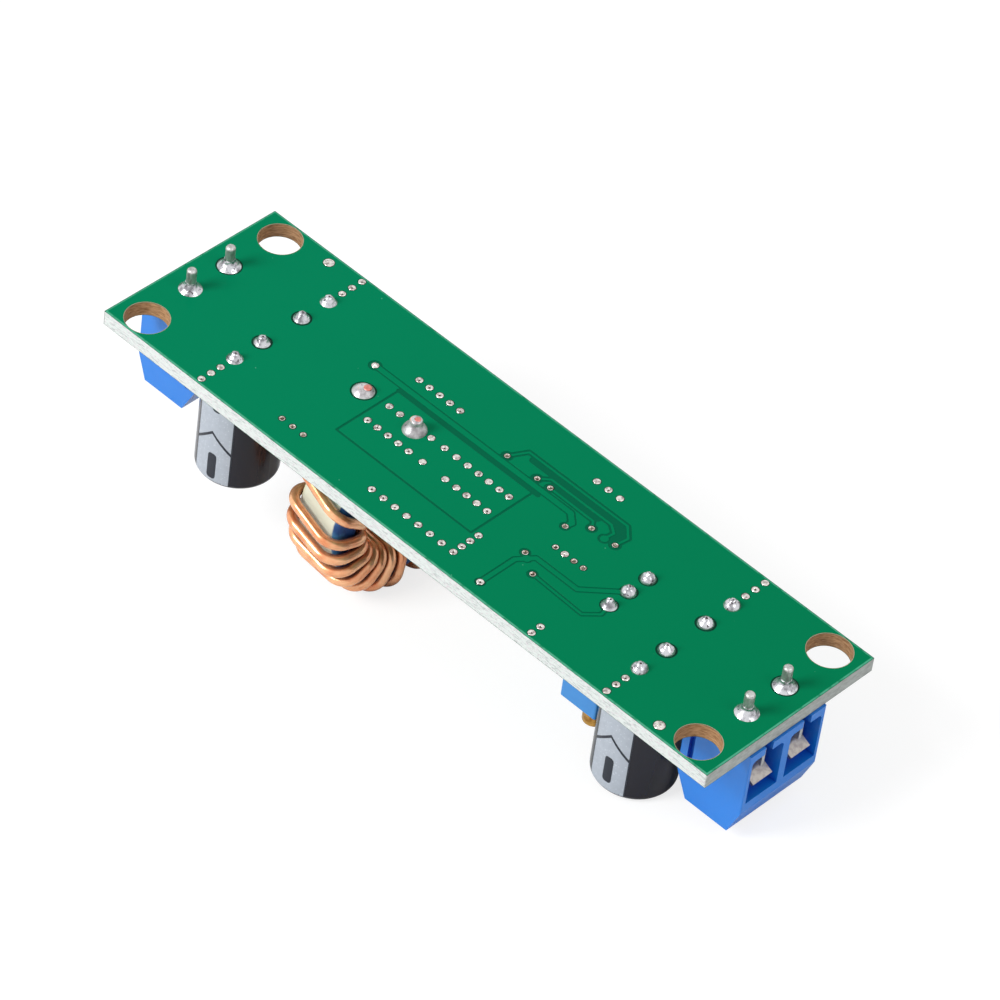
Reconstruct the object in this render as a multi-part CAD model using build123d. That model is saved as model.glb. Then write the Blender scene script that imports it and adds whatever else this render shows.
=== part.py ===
from build123d import *
import os
from math import asin, copysign, cos, degrees, radians, sin

# Buck converter module, solder side up. Millimetres. The origin is the centre of the
# solder face, +X runs to the input end, +Y to the far long edge, +Z out of the solder side.

# Board
board_length = 76.4
board_width = 22.0
board_thickness = 1.6
fixing_inset_x = 3.20
fixing_inset_y = 2.40
fixing_hole_d = 4.3
component_face = -board_thickness

# Soldering: a plated hole is wider than its lead, and solder fills the difference
solder_play = 0.01
hole_play = 0.15
solder_crown = 0.12
solder_sag_out = 0.32
solder_sag_up = 0.36
lead_tip_share = 0.3

# Vias: small plated holes filled with solder, in rows where they stand in rows
via_d = 0.6
big_via_d = 0.95
via_proud = 0.05
edge_via_inset = 0.62
edge_via_gap = 0.90
edge_vias_per_group = 3
output_via_row_start = -12.98
output_via_row_pitch = 1.32
output_via_row_count = 5
output_via_row_y = 5.05
switch_row_upper_y = 0.42
switch_row_upper_x = (-12.27, -10.90, -6.86, -5.14, -3.61, -2.18, -0.79, 0.51, 1.85, 3.06)
switch_row_lower_y = -2.42
switch_row_lower_x = (-12.25, -10.97, -9.61, -8.29, -6.94, -5.16, -2.25, -0.84, 0.46, 1.75, 3.06)
ground_row_start = -5.60
ground_row_pitch = 1.48
ground_row_count = 8
ground_row_inset = 2.50
ground_column_pitch = 1.08
ground_column_count = 3
big_via_inset = 1.17
output_big_via_offset = 5.27
input_big_via_offset = 3.59
shunt_row_start = 6.80
shunt_row_pitch = 1.45
shunt_row_count = 3
shunt_row_inset = 2.90
lone_vias = ((-16.98, 3.28), (11.40, -0.95))
near_edge_vias = ((8.96, 1.66), (16.32, 1.80), (16.32, 0.65))

# Signal vias: smaller and left open
open_via_d = 0.45
output_open_row_start = -17.40
output_open_row_pitch = 1.385
output_open_row_count = 3
output_open_row_inset = 2.67
signal_vias = (
    (-0.77, 4.13), (3.04, 4.13), (4.67, 4.16), (10.68, 3.31), (13.55, 3.38), (8.96, 1.64),
    (10.25, -0.95), (12.55, -0.95), (13.70, -0.95), (8.96, -3.56), (11.29, -5.01),
)

# Terminal blocks: two poles, wire entries facing out of each end
pole_pitch = 5.0
pole_count = 2
block_pin_inset = 2.85
block_row_y = -0.25
block_front = 3.10
block_back = 4.60
block_height = 10.30
block_shoulder = 7.20
block_front_chamfer = 1.15
block_back_slope = 1.50
block_edge_r = 0.15
entry_width = 4.10
entry_depth = 5.90
entry_lip = 0.90
entry_sill = 1.00
entry_corner_r = 0.50
pin_slot_width = 1.00
output_block_overhang = 0.49
interlock_x = 3.30
interlock_width = 0.60
interlock_depth = 0.50
interlock_flare = 0.15
interlock_play = 0.10
interlock_length = 7.0

# Terminal metalwork
pin_d = 0.95
pin_reach = 2.50
pad_d = 2.30
cone_height = 0.95
contact_play = 0.05
contact_width = 3.60
contact_sheet = 0.60
contact_inset = 0.30
contact_plate_length = 4.60
screw_plate_height = 1.10
fin_sheet = 0.40
fin_drop = 2.00
fin_reach = 2.65
leaf_width = 2.50
leaf_sheet = 0.30
leaf_root_z = -3.20
leaf_bend_x = 1.80
leaf_bend_z = -3.90
leaf_tip_x = 2.95
leaf_tip_z = -4.50
leaf_bend_r = 1.2

# Clamp screws
screw_axis_x = -0.45
screw_thread_d = 2.90
screw_thread_play = 0.05
screw_head_d = 3.50
screw_head_play = 0.20
screw_head_height = 1.70
screw_recess = 0.60
screw_tip_gap = 0.12
screw_tip_chamfer = 0.45
screw_head_edge_r = 0.25
screw_slot_width = 0.60
screw_slot_depth = 0.80

# Electrolytic capacitors, two at each end
capacitor_d = 8.10
capacitor_length = 12.40
capacitor_seat_gap = 0.20
capacitor_edge_r = 0.50
output_capacitor_gap = 0.83
input_capacitor_gap = 1.15
capacitor_y = (-4.40, 4.22)
capacitor_lead_pitch = 3.50
capacitor_lead_d = 0.60
capacitor_lead_reach = 0.75
capacitor_pad_d = 1.80
capacitor_dome_height = 0.50
sleeve_wall = 0.15
sleeve_play = 0.02
sleeve_rim = 0.90
bead_depth = 0.30
bead_drop = 2.20
bead_half_height = 0.55
bung_height = 1.30
bung_inset = 0.55
vent_length = 4.60
vent_width = 0.30
vent_depth = 0.15

# Inductor: a ring core standing on edge, wound with one enamelled wire
core_outer_d = 15.24
core_inner_d = 9.40
core_height = 5.94
core_edge_r = 0.90
core_standoff = 1.48
core_x = -11.58
core_y = -0.07
core_yaw = -7.7
core_lean = -3.8
wire_d = 1.04
wire_play = 0.04
turn_play = 0.02
outer_slack = 0.38
turns_per_bank = 8
winding_foot_angle = 278.5
bank_gap_angle = 25.0
lead_turn_spread = 6.4
outer_slant_angle = 12.0
face_sweep_angle = 9.0
outer_bend_r = 1.90
lead_bend_r = 0.80
lead_foot_drop = 1.30
start_lead_angle = 97.0
start_lead_x = -15.24
finish_lead_x = -8.59
inductor_lead_y = 0.0
start_lead_reach = 0.50
start_pad_d = 2.20
start_joint_height = 0.45
finish_lead_reach = 1.35
finish_pad_d = 2.40
finish_joint_height = 1.15

# Multi-turn trimmer
trimmer_gap = 0.88
trimmer_width = 4.40
trimmer_length = 9.53
trimmer_height = 9.60
trimmer_foot_height = 0.40
trimmer_foot_size = 1.10
trimmer_foot_root = 0.20
trimmer_edge_r = 0.25
trimmer_pin_pitch = 2.54
trimmer_pin_d = 0.50
trimmer_pin_reach = 0.80
trimmer_pin_inset = 1.00
trimmer_pad_d = 1.65
trimmer_dome_height = 0.50
trimmer_screw_d = 2.20
trimmer_screw_play = 0.05
trimmer_screw_x = 1.10
trimmer_screw_y = -3.50
trimmer_screw_proud = 1.50
trimmer_screw_depth = 2.40
trimmer_screw_edge_r = 0.15
trimmer_slot_width = 0.50
trimmer_slot_depth = 0.80

# Surface-mount parts on the component face
mount_gap = 0.02
regulator_x = -0.30
regulator_y = -1.00
regulator_length = 9.20
regulator_width = 10.10
regulator_height = 4.40
regulator_draft = 5.0
regulator_lead_pitch = 1.70
regulator_lead_count = 5
regulator_lead_width = 0.80
regulator_lead_sheet = 0.45
regulator_lead_level = 2.50
regulator_lead_span = 5.00
regulator_foot_length = 2.20
tab_sheet = 1.27
tab_reach = 1.30
tab_notch_r = 1.00
tab_share = 0.8
lead_bend_share = 0.8
diode_x = -0.30
diode_y = 7.60
diode_length = 6.80
diode_width = 5.60
diode_height = 2.20
diode_draft = 6.0
diode_lead_width = 3.00
diode_lead_sheet = 0.20
diode_lead_level = 1.10
diode_foot_length = 1.20
chip_length = 2.00
chip_width = 1.25
resistor_height = 0.55
ceramic_height = 0.90
chip_edge_r = 0.08
chip_column_x = 12.60
resistor_ys = (7.60, 5.90, -7.40)
ceramic_y = -5.70
output_ceramic_offset = 5.67
output_ceramic_y = 7.40
input_ceramic_offset = 5.15
input_ceramic_y = 9.00

# Places worked out from the sizes above
fixing_x = board_length / 2 - fixing_inset_x
fixing_y = board_width / 2 - fixing_inset_y
block_pin_x = board_length / 2 - block_pin_inset
block_rows = ((1, block_pin_x, 0.0), (-1, -block_pin_x, output_block_overhang))
output_capacitor_x = -(block_pin_x - block_back - output_capacitor_gap - capacitor_d / 2)
input_capacitor_x = block_pin_x - block_back - input_capacitor_gap - capacitor_d / 2
trimmer_x = input_capacitor_x - capacitor_d / 2 - trimmer_gap - trimmer_width / 2
ground_row_y = -(board_width / 2 - ground_row_inset)
shunt_row_y = board_width / 2 - shunt_row_inset
output_open_row_y = -(board_width / 2 - output_open_row_inset)
big_via_y = board_width / 2 - big_via_inset
big_vias = (
    (-(fixing_x - output_big_via_offset), big_via_y),
    (fixing_x - input_big_via_offset, -big_via_y),
)
resistor_places = [(chip_column_x, y) for y in resistor_ys]
ceramic_places = [
    (output_capacitor_x + output_ceramic_offset, output_ceramic_y),
    (chip_column_x, ceramic_y),
    (input_capacitor_x - input_ceramic_offset, input_ceramic_y),
]
pole_offsets = [pole_pitch * (i - (pole_count - 1) / 2) for i in range(pole_count)]
capacitor_centres = [(x, y) for x in (output_capacitor_x, input_capacitor_x) for y in capacitor_y]
trimmer_pin_ys = [trimmer_pin_pitch * i for i in (-1, 0, 1)]
inductor_joints = (
    (start_lead_x, start_pad_d, start_joint_height),
    (finish_lead_x, finish_pad_d, finish_joint_height),
)


def hole_for(lead_d):
    """The drilled hole that takes a lead and the solder around it."""
    return lead_d + 2 * hole_play


def via_places():
    """Centre and drill of every solder-filled via."""
    places = []
    last_y = board_width / 2 - edge_via_inset
    for x, y in capacitor_centres:
        first_y = abs(y) + capacitor_lead_pitch / 2 + capacitor_pad_d / 2 + edge_via_gap
        pitch = (last_y - first_y) / (edge_vias_per_group - 1)
        for i in range(edge_vias_per_group):
            places.append((x, copysign(first_y + pitch * i, y), via_d))
    for i in range(output_via_row_count):
        places.append((output_via_row_start + output_via_row_pitch * i, output_via_row_y, via_d))
    places += [(x, switch_row_upper_y, via_d) for x in switch_row_upper_x]
    places += [(x, switch_row_lower_y, via_d) for x in switch_row_lower_x]
    for i in range(ground_row_count):
        places.append((ground_row_start + ground_row_pitch * i, ground_row_y, via_d))
    column_x = ground_row_start + ground_row_pitch * (ground_row_count - 1)
    for i in range(1, ground_column_count + 1):
        places.append((column_x, ground_row_y + ground_column_pitch * i, via_d))
    for i in range(shunt_row_count):
        places.append((shunt_row_start + shunt_row_pitch * i, shunt_row_y, via_d))
    places += [(x, y, via_d) for x, y in lone_vias]
    places += [(x, inset - board_width / 2, via_d) for x, inset in near_edge_vias]
    places += [(x, y, big_via_d) for x, y in big_vias]
    return places


def open_via_places():
    """Centre of every via that is left open."""
    row = [
        (output_open_row_start + output_open_row_pitch * i, output_open_row_y)
        for i in range(output_open_row_count)
    ]
    return row + list(signal_vias)


def terminal_places():
    return [(x, block_row_y + side * y) for side, x, setback in block_rows for y in pole_offsets]


def capacitor_lead_places(centre):
    x, y = centre
    return [(x, y + side * capacitor_lead_pitch / 2) for side in (-1, 1)]


def drilled_places():
    """Centre and drill of every hole through the board."""
    places = [(x, y, hole_for(pin_d)) for x, y in terminal_places()]
    for centre in capacitor_centres:
        places += [(x, y, hole_for(capacitor_lead_d)) for x, y in capacitor_lead_places(centre)]
    places += [(x, inductor_lead_y, hole_for(wire_d)) for x, pad, height in inductor_joints]
    places += [(trimmer_x, y, hole_for(trimmer_pin_d)) for y in trimmer_pin_ys]
    places += [(x, y, drill) for x, y, drill in via_places()]
    places += [(x, y, open_via_d) for x, y in open_via_places()]
    for side_x in (-1, 1):
        for side_y in (-1, 1):
            places.append((side_x * fixing_x, side_y * fixing_y, fixing_hole_d))
    return places


def circuit_board():
    outline = Rectangle(board_length, board_width)
    holes = [Pos(x, y) * Circle(drill / 2) for x, y, drill in drilled_places()]
    return extrude(outline - holes, -board_thickness)


def vias():
    length = board_thickness + via_proud
    middle = component_face + length / 2
    return [
        Pos(x, y, middle) * Cylinder(drill / 2 - solder_play, length)
        for x, y, drill in via_places()
    ]


def solder_joint(x, y, pad, height, lead_d):
    """A fillet of solder on its pad, with the plug that fills the hole around the lead."""
    bore = lead_d / 2 + solder_play
    barrel = hole_for(lead_d) / 2 - solder_play
    rim = pad / 2
    crown = bore + solder_crown
    foot = Polyline((crown, height), (bore, height), (bore, component_face), (barrel, component_face),
                    (barrel, 0), (rim, 0))
    sag = (crown + solder_sag_out * (rim - crown), solder_sag_up * height)
    slope = ThreePointArc((rim, 0), sag, (crown, height))
    section = Plane.XZ * make_face([foot, slope])
    return Pos(x, y) * revolve(section, Axis.Z)


def round_lead(x, y, lead_d, low, high):
    """A straight round lead with a rounded tip."""
    length = high - low
    lead = Cylinder(lead_d / 2, length, align=(Align.CENTER, Align.CENTER, Align.MIN))
    tip = lead.edges().group_by(Axis.Z)[-1]
    return Pos(x, y, low) * fillet(tip, lead_d * lead_tip_share)


# Terminal block, in its own frame: the pin row is the origin on the component face,
# +X is the way the wires go in, and the body hangs down from Z = 0


def block_width():
    return pole_pitch * pole_count


def entry_floor():
    return -(block_shoulder - entry_sill)


def block_section():
    back = -block_back
    return make_face(Polyline(
        (block_front, 0),
        (block_front, -block_shoulder),
        (block_front - block_front_chamfer, -block_height),
        (back + block_back_slope, -block_height),
        (back, -block_shoulder),
        (back, 0),
        close=True,
    ))


def dovetail(side, play):
    """The upright rib that hooks one block to the next, or the groove that takes it."""
    neck = interlock_width / 2 + play
    flare = neck + interlock_flare
    reach = side * (interlock_depth + play)
    section = make_face(Polyline((-neck, 0), (neck, 0), (flare, reach), (-flare, reach), close=True))
    y = side * block_width() / 2
    return Pos(-interlock_x, y, -interlock_length) * extrude(section, interlock_length)


def wire_entry(y, setback):
    chamber_height = -entry_floor() - entry_lip
    chamber = Box(entry_depth, entry_width, chamber_height, align=(Align.MAX, Align.CENTER, Align.MIN))
    chamber = fillet(chamber.edges().filter_by(Axis.X).group_by(Axis.Z)[-1], entry_corner_r)
    slot_length = block_front + setback + pin_d / 2 + hole_play
    slot = Box(slot_length, pin_slot_width, entry_lip * 2, align=(Align.MAX, Align.CENTER, Align.CENTER))
    bore_depth = block_height + entry_floor()
    bore = Cylinder(screw_head_d / 2 + screw_head_play, bore_depth, align=(Align.CENTER, Align.CENTER, Align.MIN))
    return [
        Pos(block_front, y, entry_floor()) * chamber,
        Pos(block_front, y, 0) * slot,
        Pos(screw_axis_x, y, -block_height) * bore,
    ]


def terminal_housing(setback):
    """The moulded body of both poles, with the pins set back from the row by the given amount."""
    body = extrude(Plane.XZ * block_section(), block_width() / 2, both=True)
    body = fillet(body.edges().filter_by(Axis.Z), block_edge_r)
    body += dovetail(1, 0)
    body -= Pos(0, -block_width(), 0) * mirror(dovetail(1, interlock_play), Plane.XZ.offset(-block_width() / 2))
    for y in pole_offsets:
        body -= wire_entry(y, setback)
    return body


def contact_back():
    return block_front - entry_depth + contact_play


def screw_plate_floor():
    return entry_floor() + contact_play


def terminal_contact(y, setback):
    """The stamped cage of one pole: pin, clamp plate, back wall, threaded plate and front fin."""
    top = -(entry_lip + contact_play)
    back = contact_back()
    floor = screw_plate_floor()
    front = back + contact_plate_length
    section = make_face(Polyline(
        (front, top),
        (front, top - contact_sheet),
        (back + contact_sheet, top - contact_sheet),
        (back + contact_sheet, floor + screw_plate_height),
        (front - contact_inset, floor + screw_plate_height),
        (front - contact_inset, floor),
        (back, floor),
        (back, top),
        close=True,
    ))
    cage = extrude(Plane.XZ * section, contact_width / 2, both=True)
    thread = Cylinder(screw_thread_d / 2 + screw_thread_play, screw_plate_height * 3)
    cage -= Pos(screw_axis_x, 0, floor) * thread
    fin = Box(fin_reach, fin_sheet, fin_drop, align=(Align.MIN, Align.CENTER, Align.MAX))
    cage += Pos(0, 0, top) * fin
    pin = round_lead(-setback, 0, pin_d, top - contact_sheet / 2, board_thickness + pin_reach)
    return Pos(0, y, 0) * (cage + pin)


def leaf_line():
    root_x = contact_back() + contact_sheet + contact_play
    return FilletPolyline(
        (root_x, leaf_root_z), (leaf_bend_x, leaf_bend_z), (leaf_tip_x, leaf_tip_z), radius=leaf_bend_r
    )


def clamp_leaf(y):
    strip = trace(leaf_line(), leaf_sheet)
    return Pos(0, y, 0) * extrude(Plane.XZ * strip, leaf_width / 2, both=True)


def screw_tip():
    """The lowest point of the leaf over the screw, less the gap."""
    root_x = contact_back() + contact_sheet + contact_play
    slope = (leaf_bend_z - leaf_root_z) / (leaf_bend_x - root_x)
    edge_x = screw_axis_x + screw_thread_d / 2 - screw_tip_chamfer
    return leaf_root_z + slope * (edge_x - root_x) - leaf_sheet / 2 - screw_tip_gap


def clamp_screw(y):
    """A slotted cheese-head screw standing head down in its bore."""
    head_top = -block_height + screw_recess
    shank_length = screw_tip() - head_top - screw_head_height
    head = Cylinder(screw_head_d / 2, screw_head_height, align=(Align.CENTER, Align.CENTER, Align.MIN))
    head = fillet(head.edges().group_by(Axis.Z)[0], screw_head_edge_r)
    shank = Pos(0, 0, screw_head_height) * Cylinder(
        screw_thread_d / 2, shank_length, align=(Align.CENTER, Align.CENTER, Align.MIN)
    )
    shank = chamfer(shank.edges().group_by(Axis.Z)[-1], screw_tip_chamfer)
    slot = Box(screw_head_d * 2, screw_slot_width, screw_slot_depth * 2)
    return Pos(screw_axis_x, y, head_top) * (head + shank - slot)


def at_block(side, x, setback, shape):
    """Moves a piece from the block's own frame to its end of the board."""
    turn = 0 if side > 0 else 180
    return Pos(x + side * setback, block_row_y, component_face) * Rot(0, 0, turn) * shape


# Capacitor, in its own frame: the axis is Z, the board side is Z = 0, the free end is down


def can_radius():
    return capacitor_d / 2 - sleeve_wall - sleeve_play


def beaded_side(radius, top, bottom):
    """The side line of the can: straight, with the crimp bead that holds the bung."""
    bead = top - bead_drop
    upper = Line((radius, top), (radius, bead + bead_half_height))
    groove = ThreePointArc(
        (radius, bead + bead_half_height), (radius - bead_depth, bead), (radius, bead - bead_half_height)
    )
    lower = Line((radius, bead - bead_half_height), (radius, bottom))
    return [upper, groove, lower]


def capacitor_can():
    radius = can_radius()
    bottom = -capacitor_length + sleeve_wall + sleeve_play
    recess = radius - bung_inset
    mouth = Polyline((0, bottom), (0, -bung_height), (recess, -bung_height), (recess, 0), (radius, 0))
    section = make_face(beaded_side(radius, 0, bottom + capacitor_edge_r) + [
        mouth,
        RadiusArc((radius, bottom + capacitor_edge_r), (radius - capacitor_edge_r, bottom), capacitor_edge_r),
        Line((radius - capacitor_edge_r, bottom), (0, bottom)),
    ])
    can = revolve(Plane.XZ * section, Axis.Z)
    for angle in (45, 135):
        can -= Pos(0, 0, bottom) * Rot(0, 0, angle) * Box(vent_length, vent_width, vent_depth * 2)
    return can


def capacitor_sleeve():
    outer = capacitor_d / 2
    inner = outer - sleeve_wall
    bottom = -capacitor_length
    rim = outer - sleeve_rim
    outer_r = capacitor_edge_r + sleeve_wall
    section = make_face(
        beaded_side(outer, 0, bottom + outer_r)
        + beaded_side(inner, 0, bottom + outer_r)
        + [
            Line((outer, 0), (inner, 0)),
            RadiusArc((outer, bottom + outer_r), (outer - outer_r, bottom), outer_r),
            Line((outer - outer_r, bottom), (rim, bottom)),
            Line((rim, bottom), (rim, bottom + sleeve_wall)),
            Line((rim, bottom + sleeve_wall), (outer - outer_r, bottom + sleeve_wall)),
            RadiusArc((inner, bottom + outer_r), (outer - outer_r, bottom + sleeve_wall), capacitor_edge_r),
        ]
    )
    return revolve(Plane.XZ * section, Axis.Z)


def capacitor_bung():
    radius = can_radius() - bung_inset - sleeve_play
    bung = Pos(0, 0, -bung_height + sleeve_play) * Cylinder(
        radius, bung_height, align=(Align.CENTER, Align.CENTER, Align.MIN)
    )
    for side in (-1, 1):
        bung -= Pos(0, side * capacitor_lead_pitch / 2, 0) * Cylinder(
            capacitor_lead_d / 2 + solder_play, bung_height * 3
        )
    return bung


def capacitor_leads():
    top = capacitor_seat_gap + board_thickness + capacitor_lead_reach
    low = -bung_height + 2 * sleeve_play
    return [
        round_lead(0, side * capacitor_lead_pitch / 2, capacitor_lead_d, low, top)
        for side in (-1, 1)
    ]


def at_capacitor(centre, shape):
    x, y = centre
    place = Pos(x, y, component_face - capacitor_seat_gap)
    if isinstance(shape, list):
        return [place * piece for piece in shape]
    return place * shape


# Inductor, in the ring's own frame: the ring axis is X, and angles are measured in the
# YZ plane from +Y towards the board


def core_frame():
    centre_z = component_face - core_standoff - core_outer_d / 2
    return Pos(core_x, core_y, centre_z) * Rot(0, 0, core_yaw) * Rot(0, core_lean, 0)


def inductor_core():
    section = Rectangle((core_outer_d - core_inner_d) / 2, core_height)
    section = fillet(section.vertices(), core_edge_r)
    offset = (core_outer_d + core_inner_d) / 4
    ring = revolve(Plane.XZ * (Pos(offset, 0) * section), Axis.Z)
    return core_frame() * Rot(0, 90, 0) * ring


def turn_angles():
    """Rim angle of each turn: two mirrored banks, wound tight, with the lead turn set apart."""
    inner_radius = core_inner_d / 2 - wire_d / 2 - wire_play
    pitch = degrees(2 * asin((wire_d + turn_play) / 2 / inner_radius))
    steps = [pitch * i for i in range(turns_per_bank)]
    steps[-1] += lead_turn_spread
    near = [winding_foot_angle - bank_gap_angle / 2 - step for step in reversed(steps)]
    far = [winding_foot_angle + bank_gap_angle / 2 + step for step in steps]
    return near + far


def ring_point(axial, radius, angle):
    """A point beside the ring, moved to the part's frame."""
    local = Pos(axial, radius * cos(radians(angle)), radius * sin(radians(angle)))
    return (core_frame() * local).position


def winding_path():
    """Corners of the wire with the bend radius at each."""
    side = core_height / 2 + wire_d / 2 + wire_play
    outer = core_outer_d / 2 + wire_d / 2 + wire_play + outer_slack
    inner = core_inner_d / 2 - wire_d / 2 - wire_play
    inner_bend_r = core_edge_r + wire_play + wire_d / 2
    foot_z = component_face - lead_foot_drop
    corners = [Vector(start_lead_x, inductor_lead_y, start_lead_reach)]
    corners.append(Vector(start_lead_x, inductor_lead_y, foot_z))
    corners.append(ring_point(-side, (core_outer_d - core_edge_r) / 2, start_lead_angle))
    bends = [lead_bend_r, lead_bend_r]
    angles = turn_angles()
    for angle in angles:
        corners.append(ring_point(-side, outer, angle - outer_slant_angle))
        corners.append(ring_point(side, outer, angle))
        bends += [outer_bend_r, outer_bend_r]
        if angle != angles[-1]:
            corners.append(ring_point(side, inner, angle + face_sweep_angle))
            corners.append(ring_point(-side, inner, angle + face_sweep_angle))
            bends += [inner_bend_r, inner_bend_r]
    corners.append(Vector(finish_lead_x, inductor_lead_y, foot_z))
    corners.append(Vector(finish_lead_x, inductor_lead_y, finish_lead_reach))
    bends.append(lead_bend_r)
    return corners, bends


def inductor_winding():
    corners, bends = winding_path()
    path = FilletPolyline(*corners, radius=bends)
    section = Plane(origin=path @ 0, z_dir=path % 0) * Circle(wire_d / 2)
    return sweep(section, path=path)


# Trimmer, in its own frame: the middle pin is the origin on the component face


def trimmer_case():
    case = Box(
        trimmer_width, trimmer_length, trimmer_height, align=(Align.CENTER, Align.CENTER, Align.MAX)
    )
    case = fillet(case.edges().filter_by(Axis.Z), trimmer_edge_r)
    case = Pos(0, 0, -trimmer_foot_height) * case
    foot = Box(
        trimmer_foot_size, trimmer_foot_size, trimmer_foot_height + trimmer_foot_root,
        align=(Align.CENTER, Align.CENTER, Align.MAX),
    )
    for side_x in (-1, 1):
        for side_y in (-1, 1):
            x = side_x * (trimmer_width / 2 - trimmer_foot_size / 2 - trimmer_edge_r)
            y = side_y * (trimmer_length / 2 - trimmer_foot_size / 2 - trimmer_edge_r)
            case += Pos(x, y, 0) * foot
    bottom = -trimmer_foot_height - trimmer_height
    bore = Cylinder(
        trimmer_screw_d / 2 + trimmer_screw_play,
        trimmer_screw_depth + trimmer_screw_play,
        align=(Align.CENTER, Align.CENTER, Align.MIN),
    )
    case -= Pos(trimmer_screw_x, trimmer_screw_y, bottom) * bore
    for y in trimmer_pin_ys:
        case -= Pos(0, y, -trimmer_foot_height) * Cylinder(
            trimmer_pin_d / 2 + solder_play, trimmer_pin_inset * 2
        )
    return case


def trimmer_screw():
    bottom = -trimmer_foot_height - trimmer_height - trimmer_screw_proud
    screw = Cylinder(
        trimmer_screw_d / 2, trimmer_screw_proud + trimmer_screw_depth,
        align=(Align.CENTER, Align.CENTER, Align.MIN),
    )
    screw = fillet(screw.edges().group_by(Axis.Z)[0], trimmer_screw_edge_r)
    screw -= Box(trimmer_screw_d * 2, trimmer_slot_width, trimmer_slot_depth * 2)
    return Pos(trimmer_screw_x, trimmer_screw_y, bottom) * screw


def trimmer_pins():
    low = -trimmer_foot_height - trimmer_pin_inset + solder_play
    top = board_thickness + trimmer_pin_reach
    return [round_lead(0, y, trimmer_pin_d, low, top) for y in trimmer_pin_ys]


def at_trimmer(shape):
    place = Pos(trimmer_x, 0, component_face)
    if isinstance(shape, list):
        return [place * piece for piece in shape]
    return place * shape


# Surface-mount parts, in their own frames: the seat is Z = 0 and the body hangs down


def tapered_body(length, width, height, seat, draft):
    """A moulded package: widest at its parting line, drafted both ways."""
    middle = (seat + height) / 2
    outline = Rectangle(length, width)
    upper = extrude(outline, middle - seat, taper=draft)
    lower = extrude(outline, -(height - middle), taper=draft)
    return Pos(0, 0, -middle) * (upper + lower)


def regulator_package():
    body = tapered_body(regulator_length, regulator_width, regulator_height, tab_sheet, regulator_draft)
    tab_length = regulator_length * tab_share + tab_reach
    tab = Box(tab_length, regulator_width, tab_sheet, align=(Align.MIN, Align.CENTER, Align.MAX))
    tab -= Cylinder(tab_notch_r, tab_sheet * 3)
    tab = Pos(-regulator_length / 2 - tab_reach, 0, 0) * tab
    return Pos(regulator_x, regulator_y, component_face - mount_gap) * (body + tab)


def gull_lead(width, sheet, level, root_x, toe_x, foot_length):
    """A flat lead that leaves the body, drops to the board and ends in a foot."""
    knee_x = toe_x - foot_length
    line = FilletPolyline(
        (root_x, -level), (knee_x, -level), (knee_x, -sheet / 2), (toe_x, -sheet / 2),
        radius=sheet * lead_bend_share,
    )
    return extrude(Plane.XZ * trace(line, sheet), width / 2, both=True)


def regulator_leads():
    root = regulator_length / 2 + mount_gap
    leads = []
    for i in range(regulator_lead_count):
        y = regulator_lead_pitch * (i - (regulator_lead_count - 1) / 2)
        lead = gull_lead(
            regulator_lead_width, regulator_lead_sheet, regulator_lead_level,
            root, root + regulator_lead_span, regulator_foot_length,
        )
        leads.append(Pos(regulator_x, regulator_y + y, component_face - mount_gap) * lead)
    return leads


def diode_package():
    body = tapered_body(diode_length, diode_width, diode_height, diode_lead_sheet, diode_draft)
    return Pos(diode_x, diode_y, component_face - mount_gap) * body


def diode_leads():
    """Two straps that wrap down the ends of the body and under it."""
    root = diode_length / 2 + mount_gap
    reach = root + diode_lead_sheet
    strap = Box(diode_lead_sheet, diode_lead_width, diode_lead_level, align=(Align.MIN, Align.CENTER, Align.MAX))
    foot = Box(
        diode_foot_length, diode_lead_width, diode_lead_sheet - mount_gap,
        align=(Align.MAX, Align.CENTER, Align.MAX),
    )
    lead = Pos(root, 0, 0) * strap + Pos(reach, 0, 0) * foot
    place = Pos(diode_x, diode_y, component_face - mount_gap)
    return [place * lead, place * Rot(0, 0, 180) * lead]


def chips(places, height):
    chip = Box(chip_length, chip_width, height, align=(Align.CENTER, Align.CENTER, Align.MAX))
    chip = fillet(chip.edges().filter_by(Axis.Y), chip_edge_r)
    return [Pos(x, y, component_face - mount_gap) * chip for x, y in places]


def save(name, shape):
    pieces = shape if isinstance(shape, list) else [shape]
    solids = [solid for piece in pieces for solid in piece.solids()]
    export_step(solids[0] if len(solids) == 1 else Compound(children=solids), f"parts/{name}.step")


def save_board():
    save("circuit_board", circuit_board())
    save("vias", vias())
    save("terminal_solder", [
        solder_joint(x, y, pad_d, cone_height, pin_d) for x, y in terminal_places()
    ])
    save("capacitor_solder", [
        solder_joint(x, y, capacitor_pad_d, capacitor_dome_height, capacitor_lead_d)
        for centre in capacitor_centres for x, y in capacitor_lead_places(centre)
    ])
    save("inductor_solder", [
        solder_joint(x, inductor_lead_y, pad, height, wire_d) for x, pad, height in inductor_joints
    ])
    save("trimmer_solder", [
        solder_joint(trimmer_x, y, trimmer_pad_d, trimmer_dome_height, trimmer_pin_d)
        for y in trimmer_pin_ys
    ])


def save_terminal_blocks():
    for (side, x, setback), end in zip(block_rows, ("input", "output")):
        save(f"{end}_terminal_housing", at_block(side, x, setback, terminal_housing(setback)))
        for number, y in enumerate(pole_offsets, 1):
            save(f"{end}_contact_{number}", at_block(side, x, setback, terminal_contact(y, setback)))
            save(f"{end}_clamp_leaf_{number}", at_block(side, x, setback, clamp_leaf(y)))
            save(f"{end}_clamp_screw_{number}", at_block(side, x, setback, clamp_screw(y)))


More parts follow.
